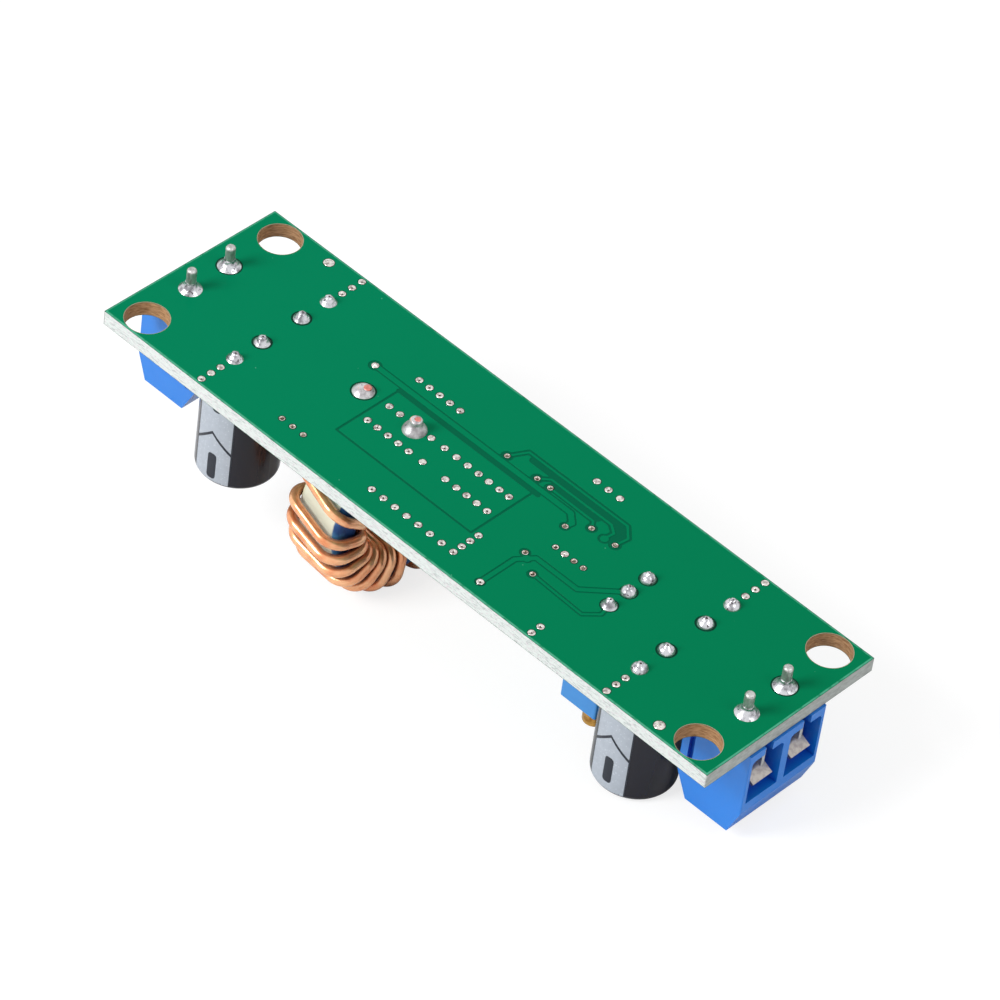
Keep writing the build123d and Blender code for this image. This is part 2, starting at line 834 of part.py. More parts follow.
def save_capacitors():
    names = ("output_capacitor_1", "output_capacitor_2", "input_capacitor_1", "input_capacitor_2")
    for name, centre in zip(names, capacitor_centres):
        save(f"{name}_can", at_capacitor(centre, capacitor_can()))
        save(f"{name}_sleeve", at_capacitor(centre, capacitor_sleeve()))
        save(f"{name}_bung", at_capacitor(centre, capacitor_bung()))
        save(f"{name}_leads", at_capacitor(centre, capacitor_leads()))


def save_others():
    save("inductor_core", inductor_core())
    save("inductor_winding", inductor_winding())
    save("trimmer_case", at_trimmer(trimmer_case()))
    save("trimmer_screw", at_trimmer(trimmer_screw()))
    save("trimmer_pins", at_trimmer(trimmer_pins()))
    save("regulator_package", regulator_package())
    save("regulator_leads", regulator_leads())
    save("diode_package", diode_package())
    save("diode_leads", diode_leads())
    save("chip_resistors", chips(resistor_places, resistor_height))
    save("ceramic_capacitors", chips(ceramic_places, ceramic_height))


os.makedirs("parts", exist_ok=True)
save_board()
save_terminal_blocks()
save_capacitors()
save_others()
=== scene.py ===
"""Looks of the buck converter module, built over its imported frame.

All sizes are in millimetres in the frame of the part: the origin is the centre of the solder
face, +X runs to the input end, +Y to the far long edge and +Z out of the solder side.
"""

import logging
import math
from dataclasses import dataclass
from enum import Enum
from typing import Callable, Iterable, Optional, Sequence

import bpy
import numpy as np
from mathutils import Matrix, Vector, noise
from mathutils.bvhtree import BVHTree

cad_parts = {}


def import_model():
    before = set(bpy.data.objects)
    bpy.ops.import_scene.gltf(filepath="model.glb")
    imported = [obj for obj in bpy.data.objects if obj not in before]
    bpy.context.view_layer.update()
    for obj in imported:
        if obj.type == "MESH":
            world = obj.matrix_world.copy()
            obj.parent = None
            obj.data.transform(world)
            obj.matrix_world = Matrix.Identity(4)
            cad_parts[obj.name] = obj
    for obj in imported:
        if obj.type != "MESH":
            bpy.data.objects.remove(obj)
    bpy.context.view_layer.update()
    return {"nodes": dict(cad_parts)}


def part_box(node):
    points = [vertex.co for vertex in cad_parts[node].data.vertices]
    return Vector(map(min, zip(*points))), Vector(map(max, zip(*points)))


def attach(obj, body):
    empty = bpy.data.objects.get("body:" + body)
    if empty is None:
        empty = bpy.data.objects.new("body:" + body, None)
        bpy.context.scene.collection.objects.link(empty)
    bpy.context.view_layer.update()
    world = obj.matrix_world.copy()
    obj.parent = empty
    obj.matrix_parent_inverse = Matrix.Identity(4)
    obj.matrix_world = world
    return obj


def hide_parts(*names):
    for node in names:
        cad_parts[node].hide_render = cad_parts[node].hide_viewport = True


LOG = logging.getLogger("buck_converter")
MM = 0.001
BASE_BODY = "module"

Point = tuple[float, float]
Corner = tuple[float, float, float]
Colour = tuple[float, float, float]
Loop = list[Point]
Nodes = dict[str, bpy.types.Object]


@dataclass(frozen=True)
class BoardSize:
    """Sizes of the board that several pieces share."""

    half_length: float = 38.2
    half_width: float = 11.0
    thickness: float = 1.6
    sheet: float = 0.035


BOARD = BoardSize()


def from_srgb(red: int, green: int, blue: int) -> Colour:
    """Turns a display colour into the linear colour that shaders use.

    Args:
        red: Display red, 0 to 255.
        green: Display green, 0 to 255.
        blue: Display blue, 0 to 255.

    Returns:
        The linear colour.
    """
    def linear(value: int) -> float:
        """One channel."""
        part = value / 255
        return part / 12.92 if part <= 0.04045 else ((part + 0.055) / 1.055) ** 2.4

    return (linear(red), linear(green), linear(blue))


class Recipe:
    """The node tree of one material, with short calls for its nodes."""

    def __init__(self, name: str) -> None:
        """Starts a material with one principled shader.

        Args:
            name: Name of the material.
        """
        self.material = bpy.data.materials.new(name)
        self.material.use_nodes = True
        self.nodes = self.material.node_tree.nodes
        self.links = self.material.node_tree.links
        self.shader = self.nodes["Principled BSDF"]
        self._place: Optional[bpy.types.NodeSocket] = None

    def join(self, start: bpy.types.NodeSocket, end: bpy.types.NodeSocket) -> None:
        """Links two sockets."""
        self.links.new(start, end)

    def feed(self, value: object, socket: bpy.types.NodeSocket) -> None:
        """Gives a socket a link or a constant.

        Args:
            value: A socket to link, or a number or colour to set.
            socket: The socket that takes it.
        """
        if isinstance(value, bpy.types.NodeSocket):
            self.links.new(value, socket)
        elif isinstance(value, tuple) and socket.type == "RGBA":
            socket.default_value = (*value, 1.0)
        else:
            socket.default_value = value

    def fixed(self, **settings: float) -> None:
        """Sets constants on the shader's own sockets.

        Args:
            settings: Socket names in lower case with underscores, and their values.
        """
        for name, value in settings.items():
            socket = self.shader.inputs[SHADER_SOCKETS[name]]
            socket.default_value = (*value, 1.0) if isinstance(value, tuple) else value

    def place(self) -> bpy.types.NodeSocket:
        """Gives the place on the part in millimetres, which rides with the piece.

        Returns:
            The place, made once for the material.
        """
        if self._place is None:
            source = self.nodes.new("ShaderNodeTexCoord")
            self._place = self.vector("SCALE", source.outputs["Object"], scale=1 / MM)
        return self._place

    def vector(
        self, operation: str, first: object, second: object = None, scale: Optional[float] = None
    ) -> bpy.types.NodeSocket:
        """Adds a vector maths node.

        Args:
            operation: Blender's name of the operation.
            first: First vector.
            second: Second vector, where the operation takes one.
            scale: Factor of the SCALE operation.

        Returns:
            The node's result, a number for DOT_PRODUCT.
        """
        node = self.nodes.new("ShaderNodeVectorMath")
        node.operation = operation
        self.feed(first, node.inputs[0])
        if second is not None:
            self.feed(second, node.inputs[1])
        if scale is not None:
            node.inputs["Scale"].default_value = scale
        return node.outputs["Value" if operation == "DOT_PRODUCT" else "Vector"]

    def number(self, operation: str, first: object, second: object = 0.0) -> bpy.types.NodeSocket:
        """Adds a maths node.

        Args:
            operation: Blender's name of the operation.
            first: First number.
            second: Second number.

        Returns:
            The node's result.
        """
        node = self.nodes.new("ShaderNodeMath")
        node.operation = operation
        self.feed(first, node.inputs[0])
        self.feed(second, node.inputs[1])
        return node.outputs[0]

    def times(self, first: object, second: object) -> bpy.types.NodeSocket:
        """Multiplies two numbers."""
        return self.number("MULTIPLY", first, second)

    def flipped(self, value: object) -> bpy.types.NodeSocket:
        """Gives 1 less a number."""
        return self.number("SUBTRACT", 1.0, value)

    def axis(self, letter: str) -> bpy.types.NodeSocket:
        """Gives one coordinate of the place in millimetres.

        Args:
            letter: X, Y or Z.

        Returns:
            The coordinate.
        """
        node = self.nodes.new("ShaderNodeSeparateXYZ")
        self.join(self.place(), node.inputs[0])
        return node.outputs[letter]

    def step(self, value: object, low: float, high: float) -> bpy.types.NodeSocket:
        """Gives 0 below low, 1 above high and a smooth rise between.

        Args:
            value: The number that is compared.
            low: Where the rise starts.
            high: Where it ends.

        Returns:
            The share, 0 to 1.
        """
        node = self.nodes.new("ShaderNodeMapRange")
        node.interpolation_type = "SMOOTHSTEP"
        self.feed(value, node.inputs["Value"])
        node.inputs["From Min"].default_value = low
        node.inputs["From Max"].default_value = high
        return node.outputs["Result"]

    def grain(
        self, size: float, detail: float = 3.0, rough: float = 0.5, stretch: tuple = (1.0, 1.0, 1.0)
    ) -> bpy.types.NodeSocket:
        """Gives soft random noise.

        Args:
            size: Size of the largest patches in millimetres.
            detail: Number of finer layers.
            rough: Weight of the finer layers.
            stretch: Factor of the frequency along each axis.

        Returns:
            The noise, about 0 to 1.
        """
        node = self.nodes.new("ShaderNodeTexNoise")
        self.join(self.vector("MULTIPLY", self.place(), stretch), node.inputs["Vector"])
        node.inputs["Scale"].default_value = 1 / size
        node.inputs["Detail"].default_value = detail
        node.inputs["Roughness"].default_value = rough
        return node.outputs["Fac"]

    def openness(self, reach: float) -> bpy.types.NodeSocket:
        """Gives 0 deep in a narrow gap and 1 on open ground, which the materials use to paint
        shade.

        Args:
            reach: How near in millimetres other surfaces count.

        Returns:
            The openness.
        """
        node = self.nodes.new("ShaderNodeAmbientOcclusion")
        node.samples = 8
        node.inputs["Distance"].default_value = reach * MM
        return node.outputs["AO"]

    def specks(self, size: float, share: float) -> bpy.types.NodeSocket:
        """Gives small round specks.

        Args:
            size: Spacing of the specks in millimetres.
            share: Radius of a speck as a share of the spacing.

        Returns:
            1 on a speck and 0 beside it.
        """
        node = self.nodes.new("ShaderNodeTexVoronoi")
        self.join(self.place(), node.inputs["Vector"])
        node.inputs["Scale"].default_value = 1 / size
        return self.flipped(self.step(node.outputs["Distance"], share * 0.6, share))

    def blend(self, share: object, first: object, second: object) -> bpy.types.NodeSocket:
        """Mixes two colours.

        Args:
            share: 0 for the first colour, 1 for the second.
            first: First colour.
            second: Second colour.

        Returns:
            The mixed colour.
        """
        node = self.nodes.new("ShaderNodeMix")
        node.data_type = "RGBA"
        self.feed(share, node.inputs[0])
        self.feed(first, node.inputs[6])
        self.feed(second, node.inputs[7])
        return node.outputs[2]

    def colour(self, value: object) -> None:
        """Gives the shader its base colour."""
        self.feed(value, self.shader.inputs["Base Color"])

    def roughness(self, noise_value: bpy.types.NodeSocket, low: float, high: float) -> None:
        """Varies the shader's roughness between two values with a noise.

        Args:
            noise_value: The noise, 0 to 1.
            low: Roughness at 0.
            high: Roughness at 1.
        """
        node = self.nodes.new("ShaderNodeMapRange")
        self.join(noise_value, node.inputs["Value"])
        node.inputs["To Min"].default_value = low
        node.inputs["To Max"].default_value = high
        self.join(node.outputs["Result"], self.shader.inputs["Roughness"])

    def relief(self, height: object, depth: float) -> None:
        """Adds a bump to the shader.

        Args:
            height: Height, about 0 to 1.
            depth: Height of 1 in millimetres.
        """
        node = self.nodes.new("ShaderNodeBump")
        node.inputs["Strength"].default_value = 1.0
        node.inputs["Distance"].default_value = depth * MM
        self.feed(height, node.inputs["Height"])
        self.join(node.outputs["Normal"], self.shader.inputs["Normal"])


SHADER_SOCKETS = {
    "metal": "Metallic",
    "rough": "Roughness",
    "specular": "Specular IOR Level",
    "coat": "Coat Weight",
    "coat_rough": "Coat Roughness",
}


@dataclass(frozen=True)
class MaskOverCopper:
    """Green solder mask where it lies on copper, with a painted highlight along the ridge near the
    board's edges.
    """

    near_output: Colour = from_srgb(0, 126, 85)
    near_input: Colour = from_srgb(0, 121, 78)
    dust: Colour = from_srgb(120, 200, 170)
    ridge_highlight: Colour = from_srgb(96, 186, 154)
    shadow: Colour = (0.0, 0.10, 0.05)
    tint_reach: float = 38.0
    ridge_inner: float = 0.22
    ridge_outer: float = 0.17
    ridge_strength: float = 0.65

    def make(self) -> bpy.types.Material:
        """Builds the material.

        Returns:
            The material.
        """
        recipe = Recipe("mask_over_copper")
        run = recipe.step(recipe.axis("X"), -self.tint_reach, self.tint_reach)
        green = recipe.blend(run, self.near_output, self.near_input)
        cloud = recipe.grain(9.0, 2.0)
        shaded = recipe.blend(recipe.times(cloud, 0.10), green, self.shadow)
        dusty = recipe.blend(recipe.times(recipe.specks(2.3, 0.030), 0.55), shaded, self.dust)
        # Painted highlight: a pale line where the mask steps down near the board's edges, broken up
        # by noise.
        along, across = (
            recipe.step(
                recipe.number("ABSOLUTE", recipe.axis(letter)),
                half - self.ridge_inner, half - self.ridge_outer,
            )
            for letter, half in (("X", BOARD.half_length), ("Y", BOARD.half_width))
        )
        patchy = recipe.step(recipe.grain(1.1, 4.0, 0.6), 0.26, 0.52)
        ridge_highlight = recipe.times(recipe.number("MAXIMUM", along, across), patchy)
        recipe.colour(recipe.blend(recipe.times(ridge_highlight, self.ridge_strength), dusty, self.ridge_highlight))
        recipe.roughness(recipe.grain(0.6, 4.0), 0.24, 0.36)
        recipe.fixed(specular=0.02)
        recipe.relief(recipe.grain(0.9, 3.0), 0.006)
        return recipe.material


@dataclass(frozen=True)
class BoardFinish:
    """The bare board: mask over laminate on both faces, fibrous edges and tan hole walls."""

    mask: Colour = from_srgb(0, 96, 66)
    fibre_light: Colour = from_srgb(211, 217, 214)
    fibre_dark: Colour = from_srgb(170, 178, 176)
    fleck: Colour = from_srgb(206, 190, 198)
    end_light: Colour = from_srgb(178, 183, 180)
    end_dark: Colour = from_srgb(156, 160, 157)
    hole_light: Colour = from_srgb(192, 152, 112)
    hole_dark: Colour = from_srgb(134, 100, 70)
    skin: float = 0.03
    skin_blur: float = 0.005
    edge_inner: float = 0.12
    edge_outer: float = 0.08
    fibre_relief: float = 0.03

    def _side(self, recipe: Recipe, letter: str, half: float) -> bpy.types.NodeSocket:
        """Gives 1 at both outer edges along one axis and 0 inside them."""
        reach = recipe.number("ABSOLUTE", recipe.axis(letter))
        return recipe.step(reach, half - self.edge_inner, half - self.edge_outer)

    def _over(self, recipe: Recipe, level: float) -> bpy.types.NodeSocket:
        """Gives 1 above a level and 0 below it."""
        return recipe.step(recipe.axis("Z"), level - self.skin_blur, level + self.skin_blur)

    def make(self) -> bpy.types.Material:
        """Builds the material.

        Returns:
            The material.
        """
        recipe = Recipe("board_laminate")
        fibres = recipe.grain(0.24, 4.0, 0.66, (0.40, 0.40, 2.2))
        strands = recipe.step(fibres, 0.50, 0.66)
        flecks = recipe.step(recipe.grain(0.20, 2.0, 0.5, (0.7, 0.7, 1.8)), 0.56, 0.66)
        white = recipe.blend(recipe.times(flecks, 0.8), self.fibre_light, self.fleck)
        edge = recipe.blend(strands, white, self.fibre_dark)
        at_end = self._side(recipe, "X", BOARD.half_length)
        at_side = self._side(recipe, "Y", BOARD.half_width)
        patchy = recipe.grain(0.7, 5.0, 0.65, (1.0, 1.0, 2.6))
        cut = recipe.blend(recipe.step(patchy, 0.36, 0.66), self.end_light, self.end_dark)
        edge = recipe.blend(at_end, edge, cut)
        turned = recipe.step(recipe.grain(0.55, 5.0, 0.60, (0.8, 0.8, 4.5)), 0.30, 0.72)
        drilled = recipe.blend(turned, self.hole_light, self.hole_dark)
        outside = recipe.number("MAXIMUM", at_end, at_side)
        wall = recipe.blend(outside, drilled, edge)
        upper = self._over(recipe, -self.skin)
        lower = recipe.flipped(self._over(recipe, -BOARD.thickness + self.skin))
        is_face = recipe.number("MAXIMUM", upper, lower)
        recipe.colour(recipe.blend(is_face, wall, self.mask))
        recipe.roughness(is_face, 0.75, 0.30)
        recipe.fixed(specular=0.03)
        recipe.relief(recipe.times(fibres, recipe.flipped(is_face)), self.fibre_relief)
        return recipe.material


@dataclass(frozen=True)
class BrightMetal:
    """A bright metal with duller patches."""

    name: str
    bright: Colour
    dull: Colour
    patch: float = 0.6
    low_rough: float = 0.12
    high_rough: float = 0.34
    relief: float = 0.012
    stretch: tuple = (1.0, 1.0, 1.0)
    metal: float = 1.0
    stain: Colour = from_srgb(66, 56, 60)
    stain_from: float = 0.90

    def make(self) -> bpy.types.Material:
        """Builds the material.

        Returns:
            The material.
        """
        recipe = Recipe(self.name)
        patches = recipe.grain(self.patch, 4.0, 0.55, self.stretch)
        clean = recipe.blend(recipe.step(patches, 0.40, 0.68), self.bright, self.dull)
        spots = recipe.grain(self.patch * 0.55, 2.0)
        stained = recipe.step(spots, self.stain_from, self.stain_from + 0.07)
        recipe.colour(recipe.blend(recipe.times(stained, 0.85), clean, self.stain))
        recipe.roughness(patches, self.low_rough, self.high_rough)
        recipe.fixed(metal=self.metal)
        recipe.relief(recipe.grain(self.patch * 0.5, 3.0, 0.5, self.stretch), self.relief)
        return recipe.material


@dataclass(frozen=True)
class MouldedPlastic:
    """A moulded plastic with a faint texture."""

    name: str
    body: Colour
    shade: Colour
    low_rough: float = 0.28
    high_rough: float = 0.42
    specular: float = 0.45
    patch: float = 2.4
    depth: float = 0.004

    def tone(self, recipe: Recipe) -> bpy.types.NodeSocket:
        """Gives the clouded colour."""
        cloud = recipe.times(recipe.grain(self.patch, 3.0), 0.35)
        return recipe.blend(cloud, self.body, self.shade)

    def make(self) -> bpy.types.Material:
        """Builds the material.

        Returns:
            The material.
        """
        recipe = Recipe(self.name)
        recipe.colour(self.tone(recipe))
        recipe.roughness(recipe.grain(0.35, 4.0), self.low_rough, self.high_rough)
        recipe.fixed(specular=self.specular)
        recipe.relief(recipe.grain(0.16, 2.0), self.depth)
        return recipe.material


@dataclass(frozen=True)
class TerminalPlastic(MouldedPlastic):
    """Blue plastic, with painted shade that deepens it in its chambers."""

    name: str = "terminal_blue"
    body: Colour = from_srgb(10, 122, 214)
    shade: Colour = from_srgb(8, 100, 204)
    specular: float = 0.6
    hollow: Colour = from_srgb(0, 70, 200)
    reach: float = 4.5

    def tone(self, recipe: Recipe) -> bpy.types.NodeSocket:
        """Gives the clouded colour, with painted shade where the plastic faces itself."""
        # Painted shade: deeper blue where other surfaces of the housing are near.
        shaded_share = recipe.flipped(recipe.step(recipe.openness(self.reach), 0.15, 0.60))
        return recipe.blend(shaded_share, super().tone(recipe), self.hollow)


@dataclass(frozen=True)
class CorePaint:
    """Powder core paint: pale green with one blue face, split near an edge of the ring."""

    centre: tuple
    ring_axis: tuple
    blue_from: float
    pale: Colour = from_srgb(214, 216, 196)
    rim: Colour = from_srgb(218, 214, 160)
    blue: Colour = from_srgb(22, 64, 122)
    light_blue: Colour = from_srgb(84, 144, 192)

    def make(self) -> bpy.types.Material:
        """Builds the material.

        Returns:
            The material.
        """
        recipe = Recipe("core_paint")
        offset = recipe.vector("SUBTRACT", recipe.place(), self.centre)
        along = recipe.vector("DOT_PRODUCT", offset, self.ring_axis)
        ragged = recipe.times(recipe.grain(0.9, 3.0), 0.25)
        edge = recipe.number("ADD", along, ragged)
        painted = recipe.step(edge, self.blue_from + 0.05, self.blue_from + 0.20)
        cloud = recipe.step(recipe.grain(2.4, 3.0), 0.42, 0.70)
        blue = recipe.blend(cloud, self.blue, self.light_blue)
        # The pale paint turns yellower towards the -X face of the ring.
        plain = recipe.step(along, -self.blue_from - 0.4, -self.blue_from + 0.2)
        yellow_share = recipe.times(recipe.flipped(plain), 0.8)
        pale = recipe.blend(yellow_share, self.pale, self.rim)
        recipe.colour(recipe.blend(painted, pale, blue))
        recipe.roughness(recipe.grain(0.5, 4.0), 0.30, 0.55)
        recipe.fixed(specular=0.35)
        recipe.relief(recipe.grain(0.30, 4.0, 0.6), 0.030)
        return recipe.material


@dataclass(frozen=True)
class EnamelledCopper:
    """Copper wire under clear enamel, with painted shade between the turns."""

    copper: Colour = from_srgb(255, 192, 142)
    deep: Colour = from_srgb(230, 136, 84)
    crevice_shade: Colour = from_srgb(120, 36, 8)
    reach: float = 1.7

    def make(self) -> bpy.types.Material:
        """Builds the material.

        Returns:
            The material.
        """
        recipe = Recipe("enamelled_copper")
        tone = recipe.grain(2.2, 4.0, 0.6)
        wire = recipe.blend(recipe.step(tone, 0.35, 0.72), self.copper, self.deep)
        # Painted shade: the colour turns deep red-brown where other turns are near.
        shaded_share = recipe.flipped(recipe.step(recipe.openness(self.reach), 0.05, 0.90))
        recipe.colour(recipe.blend(shaded_share, wire, self.crevice_shade))
        recipe.roughness(recipe.grain(0.8, 3.0), 0.20, 0.30)
        recipe.fixed(metal=0.55, coat=0.6, coat_rough=0.06)
        recipe.relief(recipe.grain(1.2, 2.0), 0.004)
        return recipe.material


@dataclass(frozen=True)
class PrintedStripe:
    """Speckled grey print of a polarity stripe."""

    grey: Colour = from_srgb(154, 161, 172)
    cloud: Colour = from_srgb(180, 187, 196)
    light: Colour = from_srgb(204, 210, 217)

    def make(self) -> bpy.types.Material:
        """Builds the material.

        Returns:
            The material.
        """
        recipe = Recipe("stripe_print")
        cloud = recipe.blend(recipe.grain(0.7, 5.0, 0.7), self.grey, self.cloud)
        specks = recipe.times(recipe.specks(0.30, 0.24), 0.6)
        recipe.colour(recipe.blend(specks, cloud, self.light))
        recipe.roughness(recipe.grain(0.4, 4.0), 0.30, 0.55)
        recipe.fixed(specular=0.35)
        recipe.relief(recipe.grain(0.25, 3.0), 0.008)
        return recipe.material


@dataclass(frozen=True)
class Floor:
    """Plain pale floor that keeps a soft shadow."""

    tone: Colour = (0.90, 0.90, 0.90)
    seen_tone: Colour = (0.30, 0.30, 0.30)
    lift: float = 0.77

    def make(self) -> bpy.types.Material:
        """Builds the material.

        Returns:
            The material.
        """
        recipe = Recipe("pale_floor")
        recipe.fixed(rough=0.9, specular=0.0)
        path = recipe.nodes.new("ShaderNodeLightPath")
        recipe.colour(recipe.blend(path.outputs["Is Camera Ray"], self.tone, self.seen_tone))
        seen = recipe.times(path.outputs["Is Camera Ray"], self.lift)
        recipe.shader.inputs["Emission Color"].default_value = (1.0, 1.0, 1.0, 1.0)
        recipe.join(seen, recipe.shader.inputs["Emission Strength"])
        return recipe.material


class MeshBag:
    """Collects points and faces of one piece."""

    def __init__(self) -> None:
        """Starts empty."""
        self.points: list[Corner] = []
        self.faces: list[tuple[int, ...]] = []

    def lathe(
        self,
        centre: Point,
        profile: Sequence[Point],
        segments: int = 24,
        wobble: float = 0.0,
        lean: Point = (0.0, 0.0),
    ) -> None:
        """Turns a profile about an upright axis, with closed ends.

        Args:
            centre: Place of the axis.
            profile: Radius and height of each ring, from one end to the other.
            segments: Points in each ring.
            wobble: How far the rings are out of round, as a share of the radius.
            lean: Sideways drift of the last ring.
        """
        start = len(self.points)
        lowest = min(z for _, z in profile)
        reach = max(z for _, z in profile) - lowest or 1.0
        for radius, z in profile:
            rise = (z - lowest) / reach
            for i in range(segments):
                angle = 2 * math.pi * i / segments
                way_x, way_y = math.cos(angle), math.sin(angle)
                seed = Vector((way_x + centre[0], way_y + centre[1], rise * 2.0))
                swell = 1 + wobble * rise * (1.6 - rise) * noise.noise(seed * 1.7)
                x = centre[0] + lean[0] * rise * rise + radius * swell * way_x
                y = centre[1] + lean[1] * rise * rise + radius * swell * way_y
                self.points.append((x, y, z + wobble * 0.25 * rise * noise.noise(seed * 2.3)))
        for row in range(len(profile) - 1):
            for i in range(segments):
                a = start + row * segments + i
                b = start + row * segments + (i + 1) % segments
                self.faces.append((a, b, b + segments, a + segments))
        last = start + (len(profile) - 1) * segments
        self.faces.append(tuple(start + i for i in reversed(range(segments))))
        self.faces.append(tuple(last + i for i in range(segments)))

    def ring(self, centre: Point, profile: Sequence[Point], segments: int = 24) -> None:
        """Turns a closed profile about an upright axis.

        Args:
            centre: Place of the axis.
            profile: Radius and height of each corner, in order round the section.
            segments: Points in each ring.
        """
        start = len(self.points)
        for radius, z in profile:
            for i in range(segments):
                angle = 2 * math.pi * i / segments
                self.points.append((
                    centre[0] + radius * math.cos(angle), centre[1] + radius * math.sin(angle), z
                ))
        rows = len(profile)
        for row in range(rows):
            for i in range(segments):
                a = start + row * segments + i
                b = start + row * segments + (i + 1) % segments
                c = start + (row + 1) % rows * segments + (i + 1) % segments
                d = start + (row + 1) % rows * segments + i
                self.faces.append((a, b, c, d))

    def prism(self, first: Sequence[Corner], second: Sequence[Corner]) -> None:
        """Joins two outlines with as many corners, and closes both.

        Args:
            first: Corners of one end, in order as seen from the other end.
            second: Corners of the other end, in the same order.
        """
        start, count = len(self.points), len(first)
        self.points += [*first, *second]
        for i in range(count):
            a, b = start + i, start + (i + 1) % count
            self.faces.append((a, b, b + count, a + count))
        self.faces.append(tuple(start + i for i in reversed(range(count))))
        self.faces.append(tuple(start + count + i for i in range(count)))

    def mesh(self, name: str) -> bpy.types.Mesh:
        """Makes the mesh, in metres.

        Args:
            name: Name of the mesh.

        Returns:
            The mesh.
        """
        mesh = bpy.data.meshes.new(name)
        mesh.from_pydata([tuple(c * MM for c in p) for p in self.points], [], self.faces)
        mesh.update()
        return mesh

    def piece(
        self, name: str, finish: bpy.types.Material, smooth_angle: float
    ) -> bpy.types.Object:
        """Makes the piece, which rides on the base body."""
        return finish_piece(name, self.mesh(name), finish, smooth_angle)


def finish_piece(
    name: str, mesh: bpy.types.Mesh, finish: bpy.types.Material, smooth_angle: float
) -> bpy.types.Object:
    """Turns a mesh into a shaded piece that rides on the base body.

    Args:
        name: Name of the piece.
        mesh: Its mesh, in metres.
        finish: Its material.
        smooth_angle: Edges sharper than this many degrees stay sharp.

    Returns:
        The object.
    """
    mesh.materials.clear()
    mesh.materials.append(finish)
    mesh.shade_smooth()
    mesh.set_sharp_from_angle(angle=math.radians(smooth_angle))
    piece = bpy.data.objects.new(name, mesh)
    bpy.context.scene.collection.objects.link(piece)
    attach(piece, BASE_BODY)
    LOG.info("%s: %d faces", name, len(mesh.polygons))
    return piece


@dataclass(frozen=True)
class Spot:
    """A round place on the board, or an upright solid over it."""

    x: float
    y: float
    radius: float
    high: float = 0.0

    def resized(self, share: float = 1.0, margin: float = 0.0) -> "Spot":
        """Gives a flat spot here with another radius."""
        return Spot(self.x, self.y, self.radius * share + margin)


def islands(mesh: bpy.types.Mesh) -> list[np.ndarray]:
    """Splits a mesh into its separate bodies.

    Args:
        mesh: The mesh, in metres.

    Returns:
        The points of each body in millimetres.
    """
    points = np.empty(len(mesh.vertices) * 3)
    mesh.vertices.foreach_get("co", points)
    points = points.reshape(-1, 3) / MM
    _, same = np.unique(np.round(points, 4), axis=0, return_inverse=True)
    same = same.reshape(-1)
    parent = list(range(int(same.max()) + 1))

    def root(item: int) -> int:
        """Follows an item to the root of its group."""
        while parent[item] != item:
            parent[item] = parent[parent[item]]
            item = parent[item]
        return item

    for edge in mesh.edges:
        a, b = root(int(same[edge.vertices[0]])), root(int(same[edge.vertices[1]]))
        if a != b:
            parent[b] = a
    groups: dict[int, list[int]] = {}
    for i, item in enumerate(same):
        groups.setdefault(root(int(item)), []).append(i)
    return [points[index] for index in groups.values()]


def upright_spots(mesh: bpy.types.Mesh) -> list[Spot]:
    """Gives the axis, radius and height of each round body of a mesh.

    Args:
        mesh: The mesh, in metres.

    Returns:
        The spots, from the output end on.
    """
    spots = []
    for points in islands(mesh):
        low, high = points.min(0), points.max(0)
        middle = (low + high) / 2
        spots.append(Spot(middle[0], middle[1], (high[0] - low[0]) / 2, high[2]))
    return sorted(spots, key=lambda spot: (spot.x, spot.y))


def board_holes(mesh: bpy.types.Mesh) -> list[Spot]:
    """Finds the round holes in the solder face of the board.

    Args:
        mesh: The board's mesh, with its solder face at height 0.

    Returns:
        Each hole with its radius.
    """
    count: dict[tuple, int] = {}
    for polygon in mesh.polygons:
        corners = [mesh.vertices[i].co / MM for i in polygon.vertices]
        if all(abs(corner.z) < 0.001 for corner in corners):
            keys = [(round(corner.x, 3), round(corner.y, 3)) for corner in corners]
            for a, b in zip(keys, keys[1:] + keys[:1]):
                edge = (min(a, b), max(a, b))
                count[edge] = count.get(edge, 0) + 1
    rim: dict[tuple, list[tuple]] = {}
    for (a, b), times in count.items():
        if times == 1:
            rim.setdefault(a, []).append(b)
            rim.setdefault(b, []).append(a)
    holes = []
    left = set(rim)
    while left:
        group, queue = [], [left.pop()]
        while queue:
            point = queue.pop()
            group.append(point)
            for other in rim[point]:
                if other in left:
                    left.remove(other)
                    queue.append(other)
        xs, ys = [p[0] for p in group], [p[1] for p in group]
        radius = (max(xs) - min(xs)) / 2
        if radius < 5:
            holes.append(Spot((max(xs) + min(xs)) / 2, (max(ys) + min(ys)) / 2, radius))
    return sorted(holes, key=lambda hole: (hole.x, hole.y))


@dataclass
class Track:
    """A copper track with its clearance in the pour."""

    line: Sequence[Point]
    width: float = 0.25
    gap: float = 0.22


@dataclass
class Pad:
    """A round pad that stands apart from the pour."""

    x: float
    y: float
    radius: float
    gap: float = 0.20


